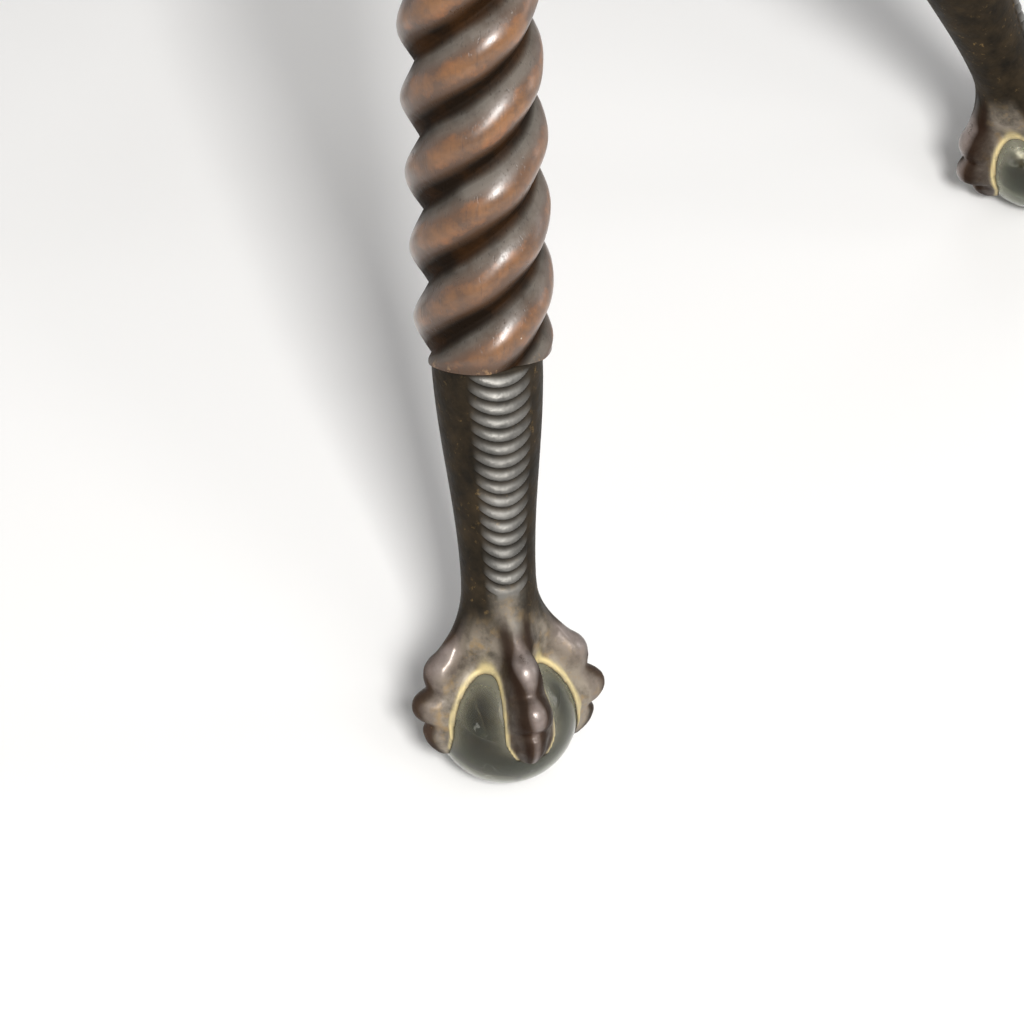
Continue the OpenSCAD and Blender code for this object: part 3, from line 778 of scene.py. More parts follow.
@dataclass(frozen=True)
class BallGlass:
    """Clear pressed glass, olive in its depth, with a cloudy film under the arches, painted glints and a painted pale
    rim where it is seen edge-on.
    """
    name: str = "ball_glass"
    deep: Colour = (0.038, 0.028, 0.008)
    streak: Colour = (0.060, 0.068, 0.045)
    shallow: Colour = (0.17, 0.18, 0.125)
    haze: Colour = (0.98, 0.94, 0.72)
    # Colour of the painted glints: pale specks and crack-like lines.
    painted_glint: Colour = (0.75, 0.78, 0.74)

    def build(self) -> Material:
        """Builds the material."""
        material, b, bsdf = new_material(self.name)
        own = b.layer("own", "Vector")
        swirl = b.add("ShaderNodeTexNoise",
                      {"Vector": own, "Scale": 110.0, "Detail": 3.0, "Distortion": 1.2}).outputs[0]
        edge = b.add("ShaderNodeLayerWeight", {0: 0.5}).outputs["Facing"]
        # Thin crack-like lines that carry painted glints.
        glint_line = b.maths("ABSOLUTE", b.maths("SUBTRACT", b.noise(own, 75.0, 3.0, 0.6), 0.5))
        cloudy = b.times(b.layer("film"), b.span(b.noise(own, 170.0, 4.0, 0.6), 0.25, 0.6, 0.65, 1.0))
        colour = b.coats(
            self.deep,
            (b.span(swirl, 0.40, 0.66), self.streak),
            (b.span(edge, 0.12, 0.62), self.shallow),
            # Painted glints: pale specks and crack-like lines on the glass.
            (b.span(b.noise(own, 380.0, 5.0, 0.75), 0.66, 0.72, 0.0, 0.6), self.painted_glint),
            (b.times(b.span(glint_line, 0.004, 0.016, 0.8, 0.0), b.span(b.noise(own, 130.0, 2.0), 0.55, 0.62)), self.painted_glint),
            (cloudy, self.haze),
            # Painted reflection: the glass turns pale where it is seen edge-on.
            (b.span(edge, 0.66, 0.98), (0.80, 0.81, 0.72)))
        scuffs = b.span(b.noise(own, 500.0, 5.0, 0.7), 0.60, 0.78, 0.004, 0.05)
        b.feed(bsdf, {"Base Color": colour, "Roughness": b.plus(scuffs, b.times(cloudy, 0.38)), "IOR": 1.42,
                      "Specular IOR Level": 0.24, "Transmission Weight": 0.87})
        b.bump(bsdf, 0.04, 0.0004, b.noise(own, 90.0, 2.0))
        return material


@dataclass(frozen=True)
class WorkedMetal:
    """Iron or steel hardware, oiled or dull, with patches of rust."""
    name: str
    base: Colour
    stain: Colour
    metallic: float
    gloss: float
    pit: float = 0.4

    def build(self) -> Material:
        """Builds the material."""
        material, b, bsdf = new_material(self.name)
        place = b.add("ShaderNodeTexCoord").outputs["Object"]
        mottle = b.noise(place, 180.0, 6.0, 0.65)
        streaks = b.span(b.noise(place, 900.0, 2.0), 0.55, 0.75, 0.0, 0.35)
        colour = b.coats(self.base, (b.span(mottle, 0.45, 0.68), self.stain), (streaks, shade(self.base, 1.9)))
        b.feed(bsdf, {
            "Base Color": colour,
            "Metallic": self.metallic,
            "Roughness": b.span(mottle, 0.3, 0.7, self.gloss - 0.08, self.gloss + 0.14)})
        b.bump(bsdf, self.pit, 0.0003, b.noise(place, 650.0, 4.0, 0.6))
        return material


# ---- pieces of the base -------------------------------------------------------------

@dataclass
class TurnedBase:
    """Hub, column and drop, turned on one axis."""
    wood: Material
    hub_rim_r: float = 85.0
    neck_r: float = 39.0
    spot_depth: float = 1.2
    drop_h: float = 58.0

    def under(self, r: float) -> float:
        """Height of the hub's sloped underside at a radius, square to the legs."""
        tilt = radians(SIZES.splay)
        return SIZES.shoulder_z - self.spot_depth / cos(tilt) + (r - SIZES.leg_circle_r) * tan(tilt)

    def hub(self) -> list[Point]:
        """Outline of the hub that the legs enter."""
        rim, neck, low, top = self.hub_rim_r, self.neck_r, SIZES.hub_bottom, SIZES.base_h
        edge = self.under(rim - 3)
        return [(neck - 3, low), *bead(low, self.under(neck + 2), neck - 3, 5), (rim - 3, edge),
                *bead(edge, edge + 8, rim - 3, 2.4), (rim - 4, self.under(rim) + 9),
                *bead(self.under(rim) + 10, top, rim - 6, 8, 22), (50.0, top)]

    def column(self) -> list[Point]:
        """Outline of the column under the hub."""
        h, low, top, neck = SIZES.stretcher_h, SIZES.column_low, SIZES.hub_bottom, self.neck_r - 3
        over = h + SIZES.column_ball_r
        return [(24.0, low), *bead(low, low + 7, 24, 3), (21.0, low + 8.5),
                *ball_arc(h, SIZES.column_ball_r, -50, 50, 34), (21.0, over - 3),
                *bead(over - 2, over + 5, 21, 5), *swell(over + 6, over + 24, 19.5, 29),
                *swell(over + 25, top - 13, 29, 22), *bead(top - 12, top - 5, 22, 6),
                (27.0, top - 4), (neck, top - 2), (neck, top)]

    def drop(self) -> list[Point]:
        """Outline of the turned drop that plugs the column."""
        top = SIZES.column_low
        low = top - self.drop_h
        return [*ball_arc(low + 9, 9, -89.5, 40, 22), (5.5, low + 17), *bead(low + 17.5, low + 21.5, 5.5, 4.5),
                *swell(low + 22, low + 36, 6, 19), *swell(low + 37, top - 5, 19, 13),
                *bead(top - 4.5, top, 17, 4), (14.4, top), (14.4, top + 20)]

    def build(self) -> None:
        """Builds the three turned pieces."""
        rim = self.hub_rim_r
        for name, node, points, bore, steps, rubbed in (
                ("hub_turned", "hub", self.hub(), 19.1, 144, (0.35, 0.55, rim - 14, rim + 1)),
                ("column_turned", "column", self.column(), 14.5, 112, (0.2, 0.7, 20, 33)),
                ("drop_turned", "drop_finial", self.drop(), 0.0, 96, (0.25, 0.65, 6, 20))):
            Piece(name, Body.BASE, Slot.TURNED_WOOD, (node,), self.wood).turned(points, bore, steps, rubbed)


@dataclass
class TwistLeg:
    """One leg: rope twist, ball, vase and shoulder."""
    side: Side
    wood: Material
    rope: Rope = field(default_factory=lambda: Rope(radius=21.1, depth=5.0, lead=67.0))
    phase: float = 83.0
    eased: float = 1.8
    vase_r: float = 20.0
    shoulder_r: float = 16.5

    @property
    def twist_top(self) -> float:
        """Where the twist ends below the leg's ball."""
        return SIZES.leg_ball_t - SIZES.leg_ball_r - 5.5

    def outline(self) -> list[Point]:
        """Outline of the turned part: ball, vase and shoulder."""
        ball, top, low = SIZES.leg_ball_t, SIZES.leg_len, self.twist_top
        over = ball + SIZES.leg_ball_r
        return [*bead(low, low + 5, self.rope.radius - 3, 3.2), (14.5, low + 6),
                *ball_arc(ball, SIZES.leg_ball_r, -47, 47, 30), (13.5, over - 3), *bead(over - 2, over + 4, 14, 4.5),
                *swell(over + 5, over + 32, 12.5, self.vase_r, 22), *swell(over + 33, top - 14, self.vase_r, 12.5, 22),
                *bead(top - 13, top - 8, 13, 4.5),
                (13.0, top - 7), (self.shoulder_r, top - 4), (self.shoulder_r, top)]

    def build(self) -> None:
        """Builds the leg, which stands for its CAD node."""
        bm = bmesh.new()
        for v in self.rope.add(bm, SIZES.foot_h, self.twist_top + 1.0, self.phase, 132, 0.85):
            r, up, angle = off_axis(v.co), v.co.z - SIZES.foot_h, atan2(v.co.y, v.co.x)
            limit = self.rope.radius - self.eased * fade(0.0, 7.0, up) ** 1.5
            uneven = 0.11 * (sin(3 * angle + 0.151 * v.co.z) + sin(5 * angle - 0.233 * v.co.z + 1.1)
                             + sin(2 * angle + 0.391 * v.co.z + 2.3) - 3.0)
            move_out(v, r, min(r, limit) + uneven * ease(0.0, 4.0, up))
        turned = set(add_closed_turned(bm, self.outline(), 0.0, 96))
        crest, chips = bm.verts.layers.float.new("crest"), bm.verts.layers.float.new("chips")
        for v in bm.verts:
            r = off_axis(v.co)
            v[chips] = fade(0.4, 2.6, v.co.z - SIZES.foot_h) * ease(17.0, 19.0, r)
            on_rope = ease(self.rope.radius - self.rope.depth, self.rope.radius, r)
            v[crest] = 0.2 + 0.65 * ease(13.0, 21.0, r) if v in turned else on_rope
        Piece(f"leg_{self.side.word}_turned", Body.BASE, Slot.TURNED_WOOD, (f"leg_{self.side.word}",),
              self.wood, crisp_angle=50.0).make(bm, leg_matrix(self.side))


@dataclass
class Stretcher:
    """One stretcher between a leg's ball and the column's ball."""
    side: Side
    wood: Material
    rope: Rope = field(default_factory=lambda: Rope(radius=10.0, depth=2.2, lead=30.0))

    def build(self) -> None:
        """Builds the stretcher, which stands for its CAD node."""
        inner = SIZES.column_ball_r - 3.0
        outer = SIZES.leg_ball_at - SIZES.leg_ball_r + 2.5
        start, end = inner + 12, outer - 12
        bm = bmesh.new()
        self.rope.add(bm, start, end, 0.0, 84, 0.6)
        near = [(6.5, inner - 6), (6.5, inner), (9.0, inner), *bead(inner + 5, inner + 9, 7.5, 3), (7.5, start + 1)]
        far = [(7.5, end - 1), *bead(outer - 9, outer - 5, 7.5, 3), (9.0, outer), (6.5, outer), (6.5, outer + 6)]
        for points in (near, far):
            add_closed_turned(bm, points, 0.0, 64)
        mark(bm, "crest", lambda co: ease(7.5, 10.2, off_axis(co)))
        place = turn(self.side.value) @ Matrix.Translation((0.0, 0.0, SIZES.stretcher_h)) @ turn(90, "Y")
        Piece(f"stretcher_{self.side.word}_turned", Body.BASE, Slot.TURNED_WOOD,
              (f"stretcher_{self.side.word}",), self.wood, crisp_angle=50.0).make(bm, place)


@dataclass
class ClawCasting:
    """The cast bird's claw: scaled shank, four toes with talons, and arched webs."""
    metal: Material
    top_r: float = 16.5
    ankle_r: float = 11.4
    ankle_gap: float = 23.4
    scale_pitch: float = 4.42
    scale_h: float = 1.2
    scale_band: float = 36.0
    scale_turn: float = -6.5
    toes: tuple[float, ...] = (0.0, 77.0, 180.0, 274.0)
    # Polar angle, radius of the web, radius of a toe's crest, half the toe's width at its root.
    rings: tuple[tuple[float, float, float, float], ...] = (
        (13.0, 50.8, 50.8, 5.0), (14.0, 47.1, 47.2, 5.2), (16.0, 42.0, 42.6, 5.8), (20.0, 36.2, 38.5, 6.6),
        (26.0, 30.8, 35.5, 7.4), (33.0, 27.2, 33.8, 8.3), (40.0, 25.6, 33.1, 9.1), (46.0, 25.1, 33.5, 9.8),
        (51.0, 25.0, 33.2, 9.4), (57.0, 24.9, 31.5, 8.6), (63.0, 24.7, 29.3, 8.1), (68.0, 24.4, 30.8, 8.6),
        (73.0, 24.1, 32.0, 9.2), (79.0, 23.7, 31.7, 9.4), (84.0, 23.5, 29.7, 9.0), (87.0, 23.4, 27.1, 8.4),
        (89.5, 23.3, 26.7, 7.8), (93.0, 23.2, 27.5, 7.3), (98.0, 23.0, 27.3, 6.6), (104.0, 22.6, 26.5, 5.9),
        (110.0, 22.1, 25.2, 5.0), (115.0, 21.4, 23.9, 4.0), (119.0, 20.6, 21.7, 2.6), (122.0, 20.4, 20.4, 2.0))
    # For each toe: how far its knuckles sit up the foot, in degrees, and where that starts and is full.
    slides: tuple[tuple[float, float, float], ...] = (
        (7.5, 20.0, 38.0), (0.0, 50.0, 75.0), (3.0, 50.0, 75.0), (4.0, 50.0, 75.0))
    arch_top: float = 18.6
    arch_margin: float = 20.5
    arch_round: float = 2.4
    cup_gap: float = 0.15
    # Step down the shank, first and last polar angle of the toes, and the step between their rings.
    shank_step: float = 0.42
    toe_angles: tuple[float, float, float] = (14.05, 122.0, 0.9)
    bottom: float = -10.6
    lip: float = 1.5
    # Radius that a toe's width is measured at, and the distance given where no arch is near.
    mean_r: float = 27.0
    no_arch: float = 99.0

    @property
    def ankle_t(self) -> float:
        """Height of the ankle over the ball's centre."""
        return SIZES.ball_r + self.ankle_gap

    def shank(self, z: float) -> float:
        """Radius of the shank at a height, between its scales."""
        u = min(1.0, max(0.0, (z - self.ankle_t) / (SIZES.foot_h - self.ankle_t)))
        return self.ankle_r + (self.top_r - self.ankle_r) * (1 - cos(pi * u)) / 2

    def across_band(self, azimuth: float) -> float:
        """Place across the band of scales, from -1 to 1 within it."""
        return (azimuth - self.scale_turn) / self.scale_band

    def below_leg(self, z: float) -> float:
        """Share of the scales that is left near the leg's end."""
        return fade(SIZES.foot_h - 2.5, SIZES.foot_h - 0.2, z)

    def scale(self, azimuth: float, z: float) -> float:
        """Height of the crescent scales on the shank's outer side, from 0 to 1."""
        bend = self.across_band(azimuth)
        if abs(bend) >= 1.0:
            return 0.0
        phase = ((z - 4.0 * bend * bend) / self.scale_pitch) % 1.0
        tooth = ease(0.0, 0.16, phase) * (1.0 - 0.92 * ease(0.20, 0.98, phase))
        ends = ease(self.ankle_t - 5, self.ankle_t + 3, z) * self.below_leg(z)
        return tooth * (1.0 - bend * bend) ** 0.6 * ends

    def nearest_toe(self, azimuth: float) -> tuple[int, float]:
        """Tells which toe an azimuth is nearest to, and how far it is from it in degrees."""
        gaps = [wrapped(azimuth - toe) for toe in self.toes]
        index = min(range(len(gaps)), key=lambda i: abs(gaps[i]))
        return index, gaps[index]

    def slid(self, polar: float, azimuth: float) -> float:
        """Polar angle to read the toes' sizes at, after the nearest toe's slide."""
        amount, start, full = self.slides[self.nearest_toe(azimuth)[0]]
        return polar + amount * ease(start, full, polar)

    def toe_share(self, polar: float, azimuth: float) -> float:
        """How far a place belongs to a toe, from 0 on the web to 1 on a crest."""
        width = smooth_table(self.rings, self.slid(polar, azimuth), 3)
        gap = self.nearest_toe(azimuth)[1]
        u = abs(radians(gap)) * self.mean_r * sin_deg(polar) / width
        return cos(pi / 2 * u) ** 1.35 if u < 1.0 else 0.0

    def from_arch(self, polar: float, azimuth: float) -> float:
        """Distance in millimetres from the edge of the nearest arch, negative inside it."""
        nearest = self.no_arch
        z = SIZES.ball_r * cos_deg(polar)
        flat = SIZES.ball_r * sin_deg(polar)
        for i, toe in enumerate(self.toes):
            after = self.toes[i + 1] if i + 1 < len(self.toes) else 360.0
            middle, half = (toe + after) / 2, (after - toe) / 2
            d = wrapped(azimuth - middle)
            if abs(d) > half:
                continue
            x = abs(flat * sin_deg(d))
            wide = SIZES.ball_r * sin_deg(half - self.arch_margin)
            if z > 0:
                bent = wide * (1 - 0.14 * (z / self.arch_top))
                u, w = x / bent, z / self.arch_top
                q = (u**self.arch_round + w**self.arch_round) ** (1 / self.arch_round)
                slope = hypot(u ** (self.arch_round - 1) / bent, w ** (self.arch_round - 1) / self.arch_top)
                away = (q - 1) * max(q, 0.2) ** (self.arch_round - 1) / max(slope, 1e-6)
            else:
                away = x - wide * (1 - 0.045 * z)
            nearest = min(nearest, away)
        return nearest

    def skin(self, polar: float, azimuth: float) -> float:
        """Radius of the casting's skin about the ball's centre."""
        web, crest = smooth_table(self.rings, polar, 1), smooth_table(self.rings, self.slid(polar, azimuth), 2)
        share = self.toe_share(polar, azimuth)
        r = web + (crest - web) * share
        away = self.from_arch(polar, azimuth)
        if away < 8.0:
            lip = self.lip
            cap = 1.3 * max(away, -2.5) if away < 0 else lip * sqrt(1 - (1 - min(away, lip) / lip) ** 2)
            cap += 1.1 * max(0.0, away - lip) + 0.3 * exp(-((away - 0.8) / 0.5) ** 2)
            cap += 26.0 * fade(13.0, 33.0, polar) + 9.0 * share * ease(0.5, 3.0, away)
            rise = r - SIZES.ball_r
            soft = 0.35
            h = min(1.0, max(0.0, 0.5 + 0.5 * (rise - cap) / soft))
            r = SIZES.ball_r + rise + (cap - rise) * h - soft * h * (1 - h)
        return r

    def shape(self) -> Mesh:
        """Shapes one casting in the leg's own frame.

        Returns:
            A mesh in millimetres, cut out for the ball.
        """
        top = SIZES.foot_h
        count = int((top - self.ankle_t) / self.shank_step) + 1
        points = [(0.0, top - 0.3), (15.6, top - 0.3), (16.2, top - 0.35)]
        points += [(self.shank(z), z) for z in (top - i * self.shank_step for i in range(2, count))]
        polar, last, step = self.toe_angles
        while polar < last:
            r = smooth_table(self.rings, polar, 1)
            points.append((r * sin_deg(polar), r * cos_deg(polar)))
            polar += step
        points.append((0.0, self.bottom))
        bm = bmesh.new()
        add_turned(bm, points, 216)
        for v in bm.verts:
            flat, polar, azimuth = off_axis(v.co), polar_of(v.co), azimuth_of(v.co)
            relief = self.scale_h * self.scale(azimuth, v.co.z)
            if flat < 1e-6:
                continue
            if v.co.z > self.ankle_t - 0.6:
                move_out(v, flat, flat + relief)
            else:
                r = self.skin(polar, azimuth)
                across = r * sin_deg(polar) + relief
                v.co = Vector((v.co.x / flat * across, v.co.y / flat * across, r * cos_deg(polar)))
        bmesh.ops.recalc_face_normals(bm, faces=bm.faces)
        return self._cut_cup(bm)

    def _cut_cup(self, bm: Mesh) -> Mesh:
        """Cuts the ball's room out of the casting.

        Args:
            bm: The uncut casting; it is freed.

        Returns:
            The cut casting.
        """
        block = new_thing("casting_raw", bm)
        ball = bmesh.new()
        bmesh.ops.create_uvsphere(ball, u_segments=128, v_segments=96, radius=SIZES.ball_r + self.cup_gap)
        cutter = new_thing("cup_cutter", ball)
        cut = block.modifiers.new("cup", "BOOLEAN")
        cut.operation, cut.object, cut.solver = "DIFFERENCE", cutter, "EXACT"
        done = bpy.data.meshes.new_from_object(block.evaluated_get(bpy.context.evaluated_depsgraph_get()))
        result = bmesh.new()
        result.from_mesh(done)
        for mesh in (block.data, cutter.data, done):
            bpy.data.meshes.remove(mesh)
        return result

    def marks(self, co: Vector) -> dict[str, float]:
        """Tells how rubbed, gilt or dark the casting is, and where it carries painted highlights and painted shade.

        Args:
            co: A place on the casting, in its own frame.

        Returns:
            The numbers of the layers that aren't 0 there.
        """
        polar, azimuth, far, z = polar_of(co), azimuth_of(co), co.length, co.z
        crest = self.scale(azimuth, z)
        bend = min(1.0, abs(self.across_band(azimuth)))
        under = ease(self.ankle_t - 15, self.ankle_t - 7, z)
        marks = {"crest": crest, "band": (1 - bend**3) * under * self.below_leg(z)}
        if z >= self.ankle_t + 6:
            return marks
        share, away = self.toe_share(polar, azimuth), self.from_arch(polar, azimuth)
        toe, gap = self.nearest_toe(azimuth)
        side_toe = toe in (1, 3)
        lower = fade(self.ankle_t - 9, self.ankle_t + 3, z)
        marks["toe"] = share * lower * ease(18, 34, polar)
        web = fade(0.35, 0.8, share)
        # Painted light: on each side toe, the face that turns towards the front toe takes the pale web colour.
        if side_toe and cos_deg(azimuth) > cos_deg(self.toes[toe]):
            web = max(web, 0.62 * fade(0.68, 0.97, share) * fade(80, 88, self.slid(polar, azimuth)))
        # Painted highlight: a lit stripe down the front of the ankle, carried by the web layer.
        lit_stripe = (1 - bend * bend) ** 2 * under * fade(self.ankle_t - 1, self.ankle_t + 4, z)
        marks["web"] = max(web * fade(27, 41, z), 0.75 * lit_stripe) * ease(0.2, 0.6, far - SIZES.ball_r)
        if far > SIZES.ball_r + 0.3:
            marks["rim"] = exp(-((away - 0.48) / 0.40) ** 2) * fade(98, 113, polar)
        # Painted shade: the folds beside the front and back toes, whose steep flanks lie in shadow, are darkened.
        if not side_toe:
            fold = fade(12, 34, abs(gap)) * fade(0.80, 0.97, share)
            marks["fold"] = fold * lower * ease(15, 22, polar) * ease(0.5, 1.6, away)
        # Painted highlight: on the toes the crest layer is a ridge line that broadens over the knuckles, turned on the
        # side toes towards the light.
        knuckle_highlight = ease(28.8, 33.4, far) * ease(26, 37, polar)
        lit_from = azimuth + {1: 11.0, 3: -11.0}.get(toe, 0.0)
        ridge_highlight = self.toe_share(polar, lit_from) ** (3.0 + 11.0 * (1 - knuckle_highlight)) * (0.46 + 0.34 * knuckle_highlight)
        marks["crest"] = max(crest, ridge_highlight * lower * ease(14, 22, polar))
        return marks

    def build(self) -> None:
        """Builds the four castings."""
        one = self.shape()
        layers = {name: one.verts.layers.float.new(name) for name in CAST_LAYERS}
        for v in one.verts:
            for name, value in self.marks(v.co).items():
                v[layers[name]] = value
        for side in Side:
            piece = Piece(f"claw_{side.word}_cast", Body.BASE, Slot.CASTING, (f"claw_foot_{side.word}",),
                          self.metal, crisp_angle=60.0)
            piece.make(one.copy(), leg_matrix(side) @ turn(SIZES.foot_turn), fix_normals=False)
        one.free()


@dataclass
class GlassBall:
    """One glass ball with the flat that it has worn on the floor."""
    side: Side
    glass: Material
    claw: ClawCasting

    def film(self, co: Vector) -> float:
        """How cloudy the glass is at a place in the claw's frame: most under the top of an arch."""
        polar = polar_of(co)
        away = self.claw.from_arch(polar, azimuth_of(co))
        reach = 2.2 + 3.6 * fade(34, 60, polar)
        return exp(min(0.0, away + 0.6) / reach) * (1 - 0.3 * ease(60, 90, polar)) * fade(94, 108, polar)

    def build(self) -> None:
        """Builds the ball, which stands for its CAD node."""
        bm = bmesh.new()
        bmesh.ops.create_uvsphere(bm, u_segments=144, v_segments=96, radius=SIZES.ball_r)
        for v in bm.verts:
            v.co.z = max(v.co.z, -SIZES.ball_z)
        place = ball_matrix(self.side)
        to_claw = (leg_matrix(self.side) @ turn(SIZES.foot_turn)).inverted() @ place
        mark(bm, "film", lambda co: self.film(to_claw @ co))
        Piece(f"ball_{self.side.word}_clear", Body.BASE, Slot.GLASS, (f"glass_ball_{self.side.word}",),
              self.glass, crisp_angle=30.0).make(bm, place)


# ---- pieces of the seat -------------------------------------------------------------

@dataclass
class PlankSeat:
    """Dished round seat of three planks, with its cleat."""
    top_wood: Material
    cleat_wood: Material
    radius: float = 178.0
    thick: float = 34.0
    low: float = 453.4
    dish: float = 5.0
    rim: float = 24.0
    cleat_r: float = 107.0
    cleat_t: float = 18.0
    rim_gap: float = 0.6
    joint_round: float = 0.35

    @property
    def top(self) -> float:
        """Height of the rim."""
        return self.low + self.thick

    def outline(self) -> list[Point]:
        """Outline of the whole seat, from the middle of its underside to the middle of its dish."""
        r, z, top = self.radius, self.low, self.top
        dish = (k / 26 for k in range(1, 27))
        return [(0.0, z), *((r * k / 12, z) for k in range(1, 10)), (r - 26, z),
                *((r - 26 + 12 * sin_deg(a), z + 12 - 12 * cos_deg(a)) for a in range(0, 91, 6)),
                *((r - 9 + 9 * cos_deg(a), top - 9 + 9 * sin_deg(a)) for a in range(-60, 91, 6)),
                (r - self.rim, top),
                *(((r - self.rim) * (1 - u), top - self.dish * sin(pi / 2 * min(1.0, u * 1.8))) for u in dish)]

    def saw(self, bm: Mesh, y: float, outward: int) -> None:
        """Saws a plank's side out of the whole seat and rounds its edges.

        Args:
            bm: The seat, or what an earlier cut left of it.
            y: Where the cut goes.
            outward: Which side is cut away, 1 or -1 along Y.
        """
        geom = [*bm.verts, *bm.edges, *bm.faces]
        bmesh.ops.bisect_plane(bm, geom=geom, dist=1e-5, plane_co=(0, y, 0), plane_no=(0, outward, 0), clear_outer=True)
        rim = list({v for e in bm.edges if e.is_boundary for v in e.verts})
        if not rim:
            return
        weld(bm, self.rim_gap, rim)
        face = bmesh.ops.holes_fill(bm, edges=[e for e in bm.edges if e.is_boundary], sides=0)["faces"]
        round_edges(bm, list({e for f in face for e in f.edges}), self.joint_round)
        weld(bm, 0.002)

    def boards(self) -> None:
        """Builds the three planks."""
        whole = bmesh.new()
        add_turned(whole, self.outline(), 180)
        bmesh.ops.recalc_face_normals(whole, faces=whole.faces)
        joint = self.radius / 3
        # Each plank's sides, the place of its grain in the tree, and how much darker its stain is.
        planks = {"left": (-self.radius - 1, -joint, 0.31, 0.16), "middle": (-joint, joint, 0.0, 0.0),
                  "right": (joint, self.radius + 1, -0.47, 0.26)}
        for word, (y0, y1, offset, tone) in planks.items():
            bm = whole.copy()
            self.saw(bm, y0, -1)
            self.saw(bm, y1, 1)
            mark(bm, "crest", self.rubbed)
            mark(bm, "tone", lambda co: tone)
            piece = Piece(f"plank_{word}_dished", Body.SEAT, Slot.SEAT_WOOD, (f"seat_board_{word}",),
                          self.top_wood, crisp_angle=40.0).make(bm)
            for item in piece.data.attributes["own"].data:
                item.vector = (item.vector[0] + offset, item.vector[1] - 0.1 * offset, item.vector[2])
        whole.free()

    def rubbed(self, co: Vector) -> float:
        """How rubbed the seat is at a place: most on its nosing and in the dish."""
        r = off_axis(co)
        # The underside gets the least, which gives it the darkest colour of the wood.
        if co.z < self.low + 14:
            return 0.12
        nosing = ease(self.radius - 16, self.radius - 5, r) * ease(self.top - 15, self.top - 6, co.z)
        dish = 0.62 * fade(30, 140, r)
        return 0.36 + 0.5 * max(nosing, dish)

    def cleat(self) -> None:
        """Builds the round cleat under the planks."""
        r, top = self.cleat_r, self.low
        z = top - self.cleat_t
        Piece("cleat_turned", Body.SEAT, Slot.SEAT_WOOD, ("seat_cleat",), self.cleat_wood).turned(
            [(r - 8, z), (r - 2, z + 6), (r, z + 10), (r, top)], 0.0, 144, (0.15, 0.3, r - 6, r), 0.8)

    def build(self) -> None:
        """Builds the planks and the cleat."""
        self.boards()
        self.cleat()


@dataclass
class ScrewGear:
    """The iron and steel pieces, which keep their CAD shape."""
    iron: Material
    steel: Material
    iron_nodes: tuple[str, ...] = ("seat_plate", "nut_plate", "screw_spindle")
    steel_nodes: tuple[str, ...] = ("cleat_screws", "seat_plate_screws", "nut_plate_screws", "foot_screws",
                                    "spindle_pin", "stop_washer", "stop_screw")
    cast_nodes: tuple[str, ...] = ("seat_plate", "nut_plate")

    def dress(self) -> None:
        """Gives each piece its finish, and its cast edges a small round."""
        for names, metal in ((self.iron_nodes, self.iron), (self.steel_nodes, self.steel)):
            for name in names:
                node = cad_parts[name]
                node.data.materials.clear()
                node.data.materials.append(metal)
                if name in self.cast_nodes:
                    node.modifiers.new("weld", "WELD").merge_threshold = 2e-6
                    edge = node.modifiers.new("edge", "BEVEL")
                    edge.width, edge.segments, edge.limit_method = 0.0006, 2, "ANGLE"
                    edge.angle_limit = radians(50)
                LOG.info("%s keeps its solid", name)


# ---- studio -------------------------------------------------------------------------

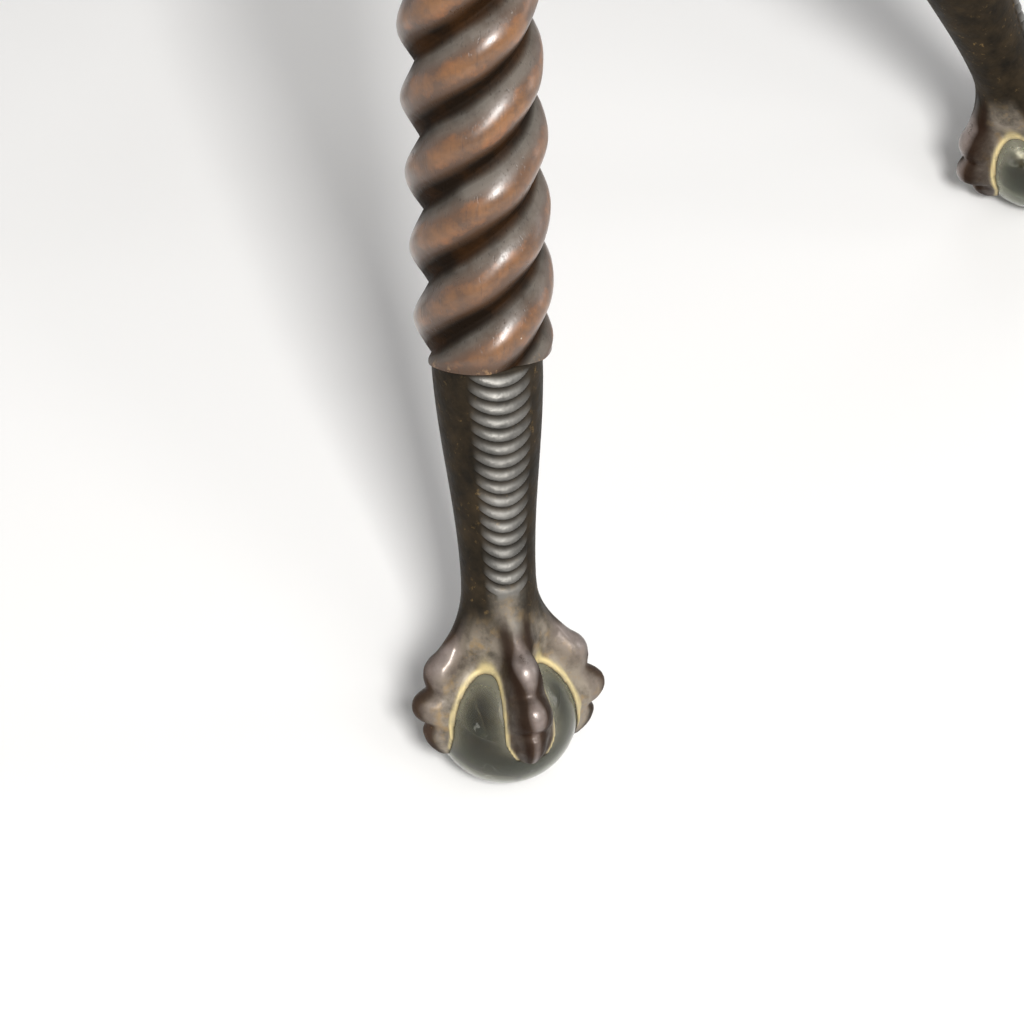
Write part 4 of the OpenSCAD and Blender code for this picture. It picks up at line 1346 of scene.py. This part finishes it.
@dataclass
class Studio:
    """Pale floor, soft lamps, white surround and the photograph's camera."""
    azimuth: float = -9.6
    elevation: float = 48.9
    roll: float = 1.4
    distance: float = 1.135
    focal_px: float = 3686.0
    shift_right: float = 0.002
    shift_up: float = 0.061
    frame_px: int = 1024
    sensor: float = 36.0
    world_light: float = 0.16
    floor_r: float = 5.0
    floor_gap: float = 0.0002
    aim: tuple[float, float, float] = (0.0, -0.1, 0.2)

    def camera(self) -> None:
        """Sets the camera at the photograph's view of the front leg."""
        az, el, roll = (radians(a) for a in (self.azimuth, self.elevation, self.roll))
        back = Vector((sin(az) * cos(el), -cos(az) * cos(el), sin(el)))
        right = Vector((cos(az), sin(az), 0.0))
        up = back.cross(right)
        right_r = cos(roll) * right + sin(roll) * up
        up_r = -sin(roll) * right + cos(roll) * up
        aim = Vector((0.0, -SIZES.foot_r, SIZES.ball_r)) * MM
        data = bpy.data.cameras.new("view")
        data.sensor_width = self.sensor
        data.lens = self.focal_px * self.sensor / self.frame_px
        data.clip_start, data.clip_end = 0.01, 60.0
        eye = bpy.data.objects.new("view", data)
        place = Matrix((right_r, up_r, back)).transposed().to_4x4()
        place.translation = aim + back * self.distance + right_r * self.shift_right + up_r * self.shift_up
        eye.matrix_world = place
        bpy.context.scene.camera = link(eye)

    def lamp(self, name: str, place: tuple[float, float, float], size: tuple[float, float], watts: float,
             tint: Colour = (1.0, 1.0, 1.0)) -> None:
        """Adds a soft lamp that faces the stool.

        Args:
            name: Name of the lamp.
            place: Where it hangs.
            size: Its width and height.
            watts: Its power.
            tint: Its colour.
        """
        data = bpy.data.lights.new(name, "AREA")
        data.shape = "RECTANGLE"
        (data.size, data.size_y), data.energy, data.color = size, watts, tint
        lamp = link(bpy.data.objects.new(name, data))
        lamp.location = place
        lamp.rotation_euler = (Vector(place) - Vector(self.aim)).to_track_quat("Z", "Y").to_euler()

    def surround(self) -> None:
        """Makes the world white to the camera, to gloss and to glass, and dimmer as light."""
        world = bpy.data.worlds.new("surround")
        bpy.context.scene.world = world
        world.use_nodes = True
        b = Bench(world.node_tree)
        plain = world.node_tree.nodes["Background"]
        b.feed(plain, {"Color": WHITE, "Strength": b.top(b.seen(), self.world_light)})

    def floor(self) -> None:
        """Lays the pale floor, which keeps the stool's soft shadow."""
        bm = bmesh.new()
        bmesh.ops.create_circle(bm, segments=96, radius=self.floor_r, cap_ends=True)
        material, b, bsdf = new_material("floor_pale")
        place = b.add("ShaderNodeTexCoord").outputs["Object"]
        away = b.add("ShaderNodeVectorMath", {0: place}, operation="LENGTH").outputs["Value"]
        b.feed(bsdf, {
            "Base Color": b.blend(b.noise(place, 3.0), (0.92, 0.92, 0.92), (0.94, 0.94, 0.94)),
            "Roughness": 0.9,
            "Specular IOR Level": 0.1,
            "Emission Color": WHITE,
            "Emission Strength": b.times(b.seen(), b.span(away, 0.4, 2.4, 0.05, 0.85))})
        floor = new_thing("floor", bm)
        floor.data.materials.append(material)
        floor.location.z = -self.floor_gap

    def build(self) -> None:
        """Builds the whole studio."""
        self.camera()
        self.surround()
        self.floor()
        self.lamp("key", (0.13, -1.63, 1.76), (0.45, 0.45), 46.0, (1.0, 0.985, 0.96))
        self.lamp("window", (0.5, -1.45, 1.75), (1.5, 1.5), 13.0, (1.0, 0.99, 0.97))
        self.lamp("side", (1.75, -0.25, 0.60), (0.35, 0.8), 3.0)
        self.lamp("fill", (-1.2, -0.9, 1.9), (1.6, 1.6), 2.0, (0.96, 0.98, 1.0))
        self.lamp("back", (0.6, 1.5, 1.7), (1.2, 1.2), 5.0)
        bpy.context.scene.view_settings.view_transform = "Standard"


def main() -> None:
    """Builds the stool's pieces in order, then the studio."""
    logging.basicConfig(level=logging.INFO, format="%(name)s: %(message)s")
    # haze sets the strength of the painted sheen on each wood's upper flanks.
    twist_wood = StainedWood("twist_wood", hollow=(0.011, 0.0068, 0.0042), body=(0.104, 0.042, 0.0115),
                             worn=(0.32, 0.108, 0.020), wear_start=0.82, wear_scale=135.0, haze=0.62,
                             gloss=0.33, shine=0.38, coat=0.95, film=0.03).build()
    turned_wood = StainedWood("turned_wood", hollow=(0.014, 0.0085, 0.006), body=(0.095, 0.037, 0.014),
                              worn=(0.30, 0.105, 0.028), wear_start=0.88, wear_scale=80.0).build()
    seat_wood = StainedWood("seat_wood", hollow=(0.020, 0.0095, 0.0055), body=(0.145, 0.056, 0.017),
                            worn=(0.29, 0.104, 0.027), grain_scale=0.9, wear_start=0.86, wear_scale=22.0,
                            gloss=0.27, film=0.04, haze=0.05, turn_grain=True, figure=0.80, dents=0.3,
                            coat=0.12).build()
    metal = BronzedCasting().build()
    glass = BallGlass().build()
    iron = WorkedMetal("screw_iron", (0.055, 0.050, 0.046), (0.085, 0.050, 0.032), 0.75, 0.45).build()
    steel = WorkedMetal("screw_steel", (0.30, 0.285, 0.265), (0.17, 0.13, 0.10), 0.95, 0.36).build()

    TurnedBase(turned_wood).build()
    claw = ClawCasting(metal)
    claw.build()
    for side in Side:
        TwistLeg(side, twist_wood).build()
        Stretcher(side, twist_wood).build()
        GlassBall(side, glass, claw).build()
    PlankSeat(seat_wood, turned_wood).build()
    ScrewGear(iron, steel).dress()
    Studio().build()


if __name__ == "__main__":
    main()
